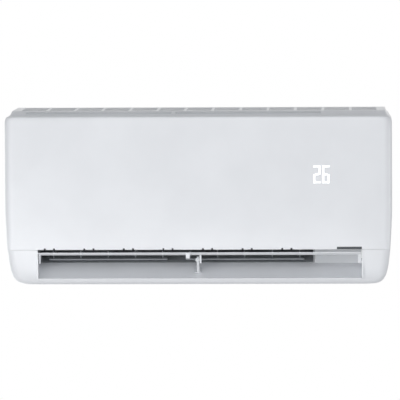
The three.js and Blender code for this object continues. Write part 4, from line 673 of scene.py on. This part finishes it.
print("shaping the louvre")
louvre = {
    "left": -290, "right": 294, "middle": (174.213, 58.697), "tilt": 4, "chord": 51.7, "sag": 3,
    "steps": 16, "thickness": 2.4, "thinning": 0.55, "tab": (-23, -16, 193.6, 196, 50, 59),
    "armRoots": [(-17, -2.4), (17, -0.6)], "armWall": 3, "boss": 6.4, "support": 3,
    "rib": [(-15, -2.4), (15, -0.6), (12, 1.6), (-12, -0.1)], "ribWall": 1.6,
    "pinRadius": 3, "pinReach": 9, "socket": 2.8, "socketDeep": 4.5,
}


def louvreLine(lift):
    # one skin of the blade from its rear edge to its front edge, thinner towards both
    tilt = math.radians(louvre["tilt"])
    line = []
    for i in range(louvre["steps"] + 1):
        t = 2 * i / louvre["steps"] - 1
        forwards = t * louvre["chord"] / 2
        upwards = lift * (1 - louvre["thinning"] * t * t) - louvre["sag"] * (1 - t * t)
        line.append((
            louvre["middle"][0] + forwards * math.cos(tilt) - upwards * math.sin(tilt),
            louvre["middle"][1] + forwards * math.sin(tilt) + upwards * math.cos(tilt)))
    return line


def fromMiddle(points):
    # points that are measured forwards and up from the blade's middle
    depth, height = louvre["middle"]
    return [(depth + forwards, height + upwards) for forwards, upwards in points]


def louvreArm(xFrom, xTo):
    # hangs from the blade down to the pivot, round which it ends in a boss
    rearRoot, frontRoot = fromMiddle(louvre["armRoots"])
    outline = [rearRoot] + ringOutline(louvrePivot, louvre["boss"], 12, 200, 140) + [frontRoot]
    return drawnBar("arm", outline, xFrom, xTo)


def louvreRib(x):
    ribHalf = louvre["ribWall"] / 2
    return drawnBar("rib", fromMiddle(louvre["rib"]), x - ribHalf, x + ribHalf)


def louvrePin(name, xTo, overlap):
    return rod(name, xTo - louvre["pinReach"], xTo + overlap, louvrePivot, louvre["pinRadius"])


half = louvre["thickness"] / 2
bladeOutline = louvreLine(-half) + louvreLine(half)[::-1]
bladeLeft, bladeRight, armWall = louvre["left"], louvre["right"], louvre["armWall"]
louvreBlade = drawnBar("louvreBlade", bladeOutline, bladeLeft, bladeRight)
ribs = [louvreRib(x) for x in notchPlaces]
# the right arm is twice as thick, for the socket that the drive shaft goes into
rightArm = louvreArm(bladeRight - 2 * armWall, bladeRight)
cutAway(rightArm, [
    rod("socket", bladeRight - louvre["socketDeep"], bladeRight + past, louvrePivot, louvre["socket"])])
weld(louvreBlade, ribs + [
    louvreArm(bladeLeft, bladeLeft + armWall), rightArm,
    louvreArm(louvre["support"] - armWall / 2, louvre["support"] + armWall / 2),
    louvrePin("endPin", bladeLeft, 1), louvrePin("middlePin", louvre["support"], 0),
    block("tab", *louvre["tab"]),
])
finishPiece(louvreBlade, "louvre", casingAbs, ("louvre_blade",))

print("building the cross-flow fan")
fan = {
    "centre": (92.639, 143), "left": -290, "right": 203, "blades": 35, "inner": 35.5, "outer": 48.6,
    "bladeSteps": 6, "bladeThickness": 1.0, "bladeEdge": 0.35, "bladeRound": 0.08, "lean": 26,
    "leanCurve": 1.6, "discs": 7, "disc": 2.4, "radius": 49, "eye": 35, "leftHub": 10, "rightHub": 14,
    "bore": 4.3,
}


def fanBladeOutline():
    # the blade leans forwards from its inner edge and curves, thin at both ends
    line = []
    edge, rounding = fan["bladeEdge"], fan["bladeRound"]
    for i in range(fan["bladeSteps"] + 1):
        t = i / fan["bladeSteps"]
        radius = fan["inner"] + (fan["outer"] - fan["inner"]) * t
        turn = math.radians(fan["lean"] * t ** fan["leanCurve"])
        swell = math.sin(math.pi * min(1 - rounding, max(rounding, t)))
        width = fan["bladeThickness"] * (edge + (1 - edge) * swell)
        line.append((radius, turn, width / radius / 2))
    front = [(r, a + w) for r, a, w in line]
    rear = [(r, a - w) for r, a, w in reversed(line)]
    depth, height = fan["centre"]
    return [(depth + r * math.cos(a), height + r * math.sin(a)) for r, a in front + rear]


def fanRod(name, xFrom, xTo, radius, sides=24):
    return rod(name, xFrom, xTo, fan["centre"], radius, sides)


fanLeft, fanRight = fan["left"], fan["right"]
firstBlade = drawnBar("crossFlowFan", fanBladeOutline(), fanLeft + 1, fanRight - 1)
bladeTurn = 2 * math.pi / fan["blades"]
blades = [turnedCopy(firstBlade, bladeTurn * i, fan["centre"]) for i in range(1, fan["blades"])]
discPitch = (fanRight - fanLeft - fan["disc"]) / (fan["discs"] - 1)
discs = []
for i in range(fan["discs"]):
    left = fanLeft + i * discPitch
    disc = fanRod("disc", left, left + fan["disc"], fan["radius"], 48)
    if 0 < i < fan["discs"] - 1:
        cutAway(disc, [fanRod("eye", left - past, left + fan["disc"] + past, fan["eye"], 48)])
    discs.append(disc)
cutAway(discs[0], [fanRod("bore", fanLeft - past, fanLeft + 5, fan["bore"])])
cutAway(discs[-1], [fanRod("bore", fanRight - 5, fanRight + past, fan["bore"])])
# the end pin goes into the left hub and the motor's shaft into the right one
hubs = [
    fanRod("hub", fanLeft + 1, fanLeft + 14, fan["leftHub"], 32),
    fanRod("hub", fanRight - 16, fanRight + 9, fan["rightHub"], 32)]
cutAway(hubs[0], [fanRod("bore", fanLeft, fanLeft + 11, fan["bore"])])
cutAway(hubs[1], [fanRod("bore", fanRight - 12, fanRight + 9 + past, fan["bore"])])
joinInto(firstBlade, blades + discs + hubs)
finishPiece(firstBlade, "fan", fanResin, ("cross_flow_fan",), smoothAngle=30)

print("weaving the air filters")
# the rims are the widths of the frame outside its ribs, and the net runs a little under them
filterShape = {
    "width": 262, "rear": 170.238, "front": 173.638, "bottom": 127.02, "top": 314.5, "columns": 5,
    "rows": 3, "rib": 3, "rim": 4, "topRim": 12, "edge": 0.4, "netEdge": 5, "net": 0.5, "pitch": 2.2,
    "netThickness": 0.35, "uprights": 0.5, "crossings": 0.9, "middles": {"left": -180, "right": 90},
}


def threads(xFrom, xTo, heightFrom, heightTo, upright):
    # one thread of the net and its copies, side by side
    shape = filterShape
    depth = shape["rear"] + (shape["uprights"] if upright else shape["crossings"])
    depths = (depth, depth + shape["netThickness"])
    if upright:
        thread = block("net", xFrom, xFrom + shape["net"], *depths, heightFrom, heightTo)
        count, step = int((xTo - xFrom) / shape["pitch"]), (mm(shape["pitch"]), 0, 0)
    else:
        thread = block("net", xFrom, xTo, *depths, heightFrom, heightFrom + shape["net"])
        count, step = int((heightTo - heightFrom) / shape["pitch"]), (0, 0, mm(shape["pitch"]))
    applyModifier(
        thread, "ARRAY", count=count, use_relative_offset=False, use_constant_offset=True,
        constant_offset_displace=step)
    return thread


def airFilter(name, middle):
    shape = filterShape
    left, right = middle - shape["width"] / 2, middle + shape["width"] / 2
    bottom, top, rim, rib = (shape[size] for size in ("bottom", "top", "rim", "rib"))
    piece = block(name, left, right, shape["rear"], shape["front"], bottom, top)
    columnPitch = (right - left - 2 * rim) / shape["columns"]
    rowPitch = (top - shape["topRim"] - rim - bottom) / shape["rows"]
    holes = []
    for column in range(shape["columns"]):
        for row in range(shape["rows"]):
            x = left + rim + column * columnPitch + rib / 2
            z = bottom + rim + row * rowPitch + rib / 2
            holes.append(block("hole", x, x + columnPitch - rib, 165, 180, z, z + rowPitch - rib))
    cutAway(piece, holes)
    applyModifier(
        piece, "BEVEL", width=mm(shape["edge"]), segments=2, limit_method="ANGLE",
        angle_limit=math.radians(40))
    edge = shape["netEdge"]
    netArea = (left + edge, right - edge, bottom + edge, top - shape["topRim"])
    net = threads(*netArea, True)
    joinInto(net, [threads(*netArea, False)])
    net.name = name + "Net"
    return piece, net


for side, middle in filterShape["middles"].items():
    filterFrame, filterNet = airFilter(f"airFilter{side.capitalize()}", middle)
    finishPiece(filterFrame, f"filter_{side}", innerHips, (f"filter_{side}",))
    finishPiece(filterNet, f"filter_{side}", filterPolypropylene)

print("lighting the display")
display = {
    "digits": "26", "middle": (222.5, 202), "digitWidth": 13, "digitHeight": 32, "gap": 3.2, "stroke": 3.4,
    "lift": 0.03, "thickness": 0.4, "glow": (0.35, 0.7), "haze": 3,
}
segmentsOf = {"2": "abged", "6": "acdefg"}


def displayFinish():
    # white light that shines through the panel's skin, softened by it
    finish, tree, shader, objectPlace = startFinish("displayLight", 0.5)
    shader.inputs["Base Color"].default_value = linear("#fbfdff")
    haze = addNode(
        tree, "ShaderNodeTexNoise", {"Scale": 1 / mm(display["haze"]), "Detail": 1.0},
        {"Vector": objectPlace})
    glow = addNode(
        tree, "ShaderNodeMapRange", {"To Min": display["glow"][0], "To Max": display["glow"][1]},
        {"Value": haze.outputs["Fac"]})
    shader.inputs["Emission Color"].default_value = linear("#ffffff")
    tree.links.new(glow.outputs["Result"], shader.inputs["Emission Strength"])
    return finish


def depthAt(line, height):
    # how far a side-view line stands out from the wall at a height
    for (lowDepth, low), (highDepth, high) in zip(line, line[1:]):
        if low <= height <= high:
            return lowDepth + (highDepth - lowDepth) * (height - low) / (high - low)
    return line[0][0]


def patch(name, line, left, right, low, high, lift, thickness):
    # a thin patch that lies on the panel and follows its side view
    lines = []
    for height in (low, (low + high) / 2, high):
        depth = depthAt(line, height) + lift
        lines.append([(left, depth, height), (right, depth, height)])
    piece = loft(name, lines)
    applyModifier(piece, "SOLIDIFY", thickness=mm(thickness), offset=-1.0)
    return piece


def digitPatches(letter, middle):
    width, height, stroke = display["digitWidth"], display["digitHeight"], display["stroke"]
    left, right = middle - width / 2, middle + width / 2
    half = display["middle"][1]
    low, high = half - height / 2, half + height / 2
    boxes = {
        "a": (left, right, high - stroke, high), "d": (left, right, low, low + stroke),
        "g": (left + stroke, right - stroke, half - stroke / 2, half + stroke / 2),
        "f": (left, left + stroke, half, high), "b": (right - stroke, right, half, high),
        "e": (left, left + stroke, low, half), "c": (right - stroke, right, low, half),
    }
    return [
        patch("segment", faceLine, *boxes[segment], display["lift"], display["thickness"])
        for segment in segmentsOf[letter]]


digits = []
for i, letter in enumerate(display["digits"]):
    middle = display["middle"][0] + (i - 0.5) * (display["digitWidth"] + display["gap"])
    digits += digitPatches(letter, middle)
joinInto(digits[0], digits[1:])
digits[0].name = "displayDigits"
finishPiece(digits[0], "panel", displayFinish())

# a plain dark strip along the panel's lower edge, at its right end: left, right, low and high
strip = {"box": (250, 295, 66.0, 70.6), "lift": 0.05, "thickness": 0.3}
darkStrip = patch("darkStrip", chinLine, *strip["box"], strip["lift"], strip["thickness"])
finishPiece(darkStrip, "panel", darkStripFinish)

print("cutting the wall plate")
plateShape = {
    "half": 230, "bottom": 100, "top": 290, "sheet": 1.5, "corner": 20, "reach": 8, "holeRadius": 4,
    "holes": (-200, -67, 66, 199), "holeInset": 30, "hooks": (-170, 0, 170), "hookHalf": 25, "hookRise": 7,
    "feet": (-175, 175), "footHalf": 15,
}
plateHalf, sheet, reach = plateShape["half"], plateShape["sheet"], plateShape["reach"]
plateBottom, plateTop = plateShape["bottom"], plateShape["top"]


def atLowerCorner(one, other):
    # the two edges through the sheet at its lower corners
    return abs(one.y - other.y) > 1 and max(one.z, other.z) < plateBottom - plateMiddle + 1


wallPlate = block("wallPlate", -plateHalf, plateHalf, 0, sheet, plateBottom, plateTop)
cornerCut = {"offset": mm(plateShape["corner"]), "segments": 1, "affect": "EDGES"}
edit(wallPlate, [("bevel", cornerCut)], edges=atLowerCorner)
plateHoles = []
for height in (plateBottom + plateShape["holeInset"], plateTop - plateShape["holeInset"]):
    for x in plateShape["holes"]:
        plateHoles.append(depthRod("hole", x, height, plateShape["holeRadius"], -1, 3))
cutAway(wallPlate, plateHoles)
# two feet folded forwards at the bottom, and three hooks folded forwards and up, on which the unit hangs
footHalf, hookHalf = plateShape["footHalf"], plateShape["hookHalf"]
hookTop = plateTop + plateShape["hookRise"]
folds = [
    block("foot", x - footHalf, x + footHalf, 0, reach, plateBottom, plateBottom + sheet)
    for x in plateShape["feet"]]
for x in plateShape["hooks"]:
    folds += [
        block("fold", x - hookHalf, x + hookHalf, 0, reach, plateTop - sheet, plateTop),
        block("hook", x - hookHalf, x + hookHalf, reach - sheet, reach, plateTop - 1, hookTop)]
weld(wallPlate, folds)
finishPiece(wallPlate, "unit", galvanisedSheet, ("wall_plate",))

print("laying the floor and hanging the lamps")
studio = {
    "floorWidth": 24.0, "floorDrop": 5.4, "paint": "#f4f4f4", "fadeFrom": 5.5, "fadeTo": 8.0,
    "nearWhite": 0.85, "air": "#f6f8fc", "airLight": 0.4, "airSeen": 1.0,
}


def stageFinish():
    # real paint that takes the unit's shadow below it, and fades to pure white further out
    finish, tree, shader, objectPlace = startFinish("studioFloor", 0.9)
    shader.inputs["Base Color"].default_value = linear(studio["paint"])
    white = addNode(tree, "ShaderNodeEmission", {"Color": (1, 1, 1, 1), "Strength": 1.0})
    outwards = addNode(tree, "ShaderNodeVectorMath", {"operation": "LENGTH"}, {0: objectPlace})
    fade = addNode(
        tree, "ShaderNodeMapRange",
        {"interpolation_type": "SMOOTHSTEP", "From Min": studio["fadeFrom"], "From Max": studio["fadeTo"],
         "To Min": studio["nearWhite"], "To Max": 1.0},
        {"Value": outwards.outputs["Value"]})
    mixed = addNode(
        tree, "ShaderNodeMixShader", None,
        {0: fade.outputs["Result"], 1: shader.outputs["BSDF"], 2: white.outputs["Emission"]})
    rays = addNode(tree, "ShaderNodeLightPath")
    shown = addNode(
        tree, "ShaderNodeMixShader", None,
        {0: rays.outputs["Is Camera Ray"], 1: shader.outputs["BSDF"], 2: mixed.outputs["Shader"]})
    tree.links.new(shown.outputs["Shader"], tree.nodes["Material Output"].inputs["Surface"])
    return finish


bpy.ops.object.select_all(action="DESELECT")
bpy.ops.mesh.primitive_plane_add(size=studio["floorWidth"])
floor = bpy.context.object
floor.name = "floor"
for vertex in floor.data.vertices:
    vertex.co.z -= studio["floorDrop"]
floor.data.materials.append(stageFinish())

studioWorld = bpy.data.worlds.new("studioWorld")
bpy.context.scene.world = studioWorld
studioWorld.use_nodes = True
worldTree = studioWorld.node_tree
ambient = worldTree.nodes["Background"]
ambient.inputs["Color"].default_value = linear(studio["air"])
ambient.inputs["Strength"].default_value = studio["airLight"]
# the camera, gloss and glass see plain white in place of the ambient light
backdrop = addNode(
    worldTree, "ShaderNodeBackground", {"Color": (1, 1, 1, 1), "Strength": studio["airSeen"]})
worldRays = addNode(worldTree, "ShaderNodeLightPath")
seenDirectly = addNode(
    worldTree, "ShaderNodeMath", {"operation": "MAXIMUM"},
    {0: worldRays.outputs["Is Camera Ray"], 1: worldRays.outputs["Is Glossy Ray"]})
seenThrough = addNode(
    worldTree, "ShaderNodeMath", {"operation": "MAXIMUM"},
    {0: seenDirectly.outputs["Value"], 1: worldRays.outputs["Is Transmission Ray"]})
worldMix = addNode(
    worldTree, "ShaderNodeMixShader", None,
    {0: seenThrough.outputs["Value"], 1: ambient.outputs["Background"], 2: backdrop.outputs["Background"]})
worldTree.links.new(worldMix.outputs["Shader"], worldTree.nodes["World Output"].inputs["Surface"])

lamps = {
    "keyLamp": {"from": (-1.3, -2.1, -0.4), "at": (-0.15, -0.1, 0), "size": 1.4, "power": 12.5},
    "fillLamp": {"from": (-0.3, -1.9, -1.5), "at": (0, -0.1, -0.1), "size": 1.6, "power": 18},
    "sideLamp": {"from": (2.8, -0.2, -0.3), "at": (0.3, -0.1, 0), "size": 1.2, "power": 11},
    "rearLamp": {"from": (-1.4, 2.5, -0.9), "at": (0, -0.1, 0), "size": 1.8, "power": 15},
    "frontLamp": {"from": (0.3, -2.7, 0.85), "at": (0, -0.15, -0.16), "size": 0.9, "power": 9},
}
for lampName, lamp in lamps.items():
    bpy.ops.object.light_add(type="AREA", location=lamp["from"])
    lampObject = bpy.context.object
    lampObject.name = lampName
    lampObject.data.size = lamp["size"]
    lampObject.data.energy = lamp["power"]
    beam = Vector(lamp["at"]) - lampObject.location
    lampObject.rotation_euler = beam.to_track_quat("-Z", "Y").to_euler()
bpy.context.scene.view_settings.view_transform = "Standard"
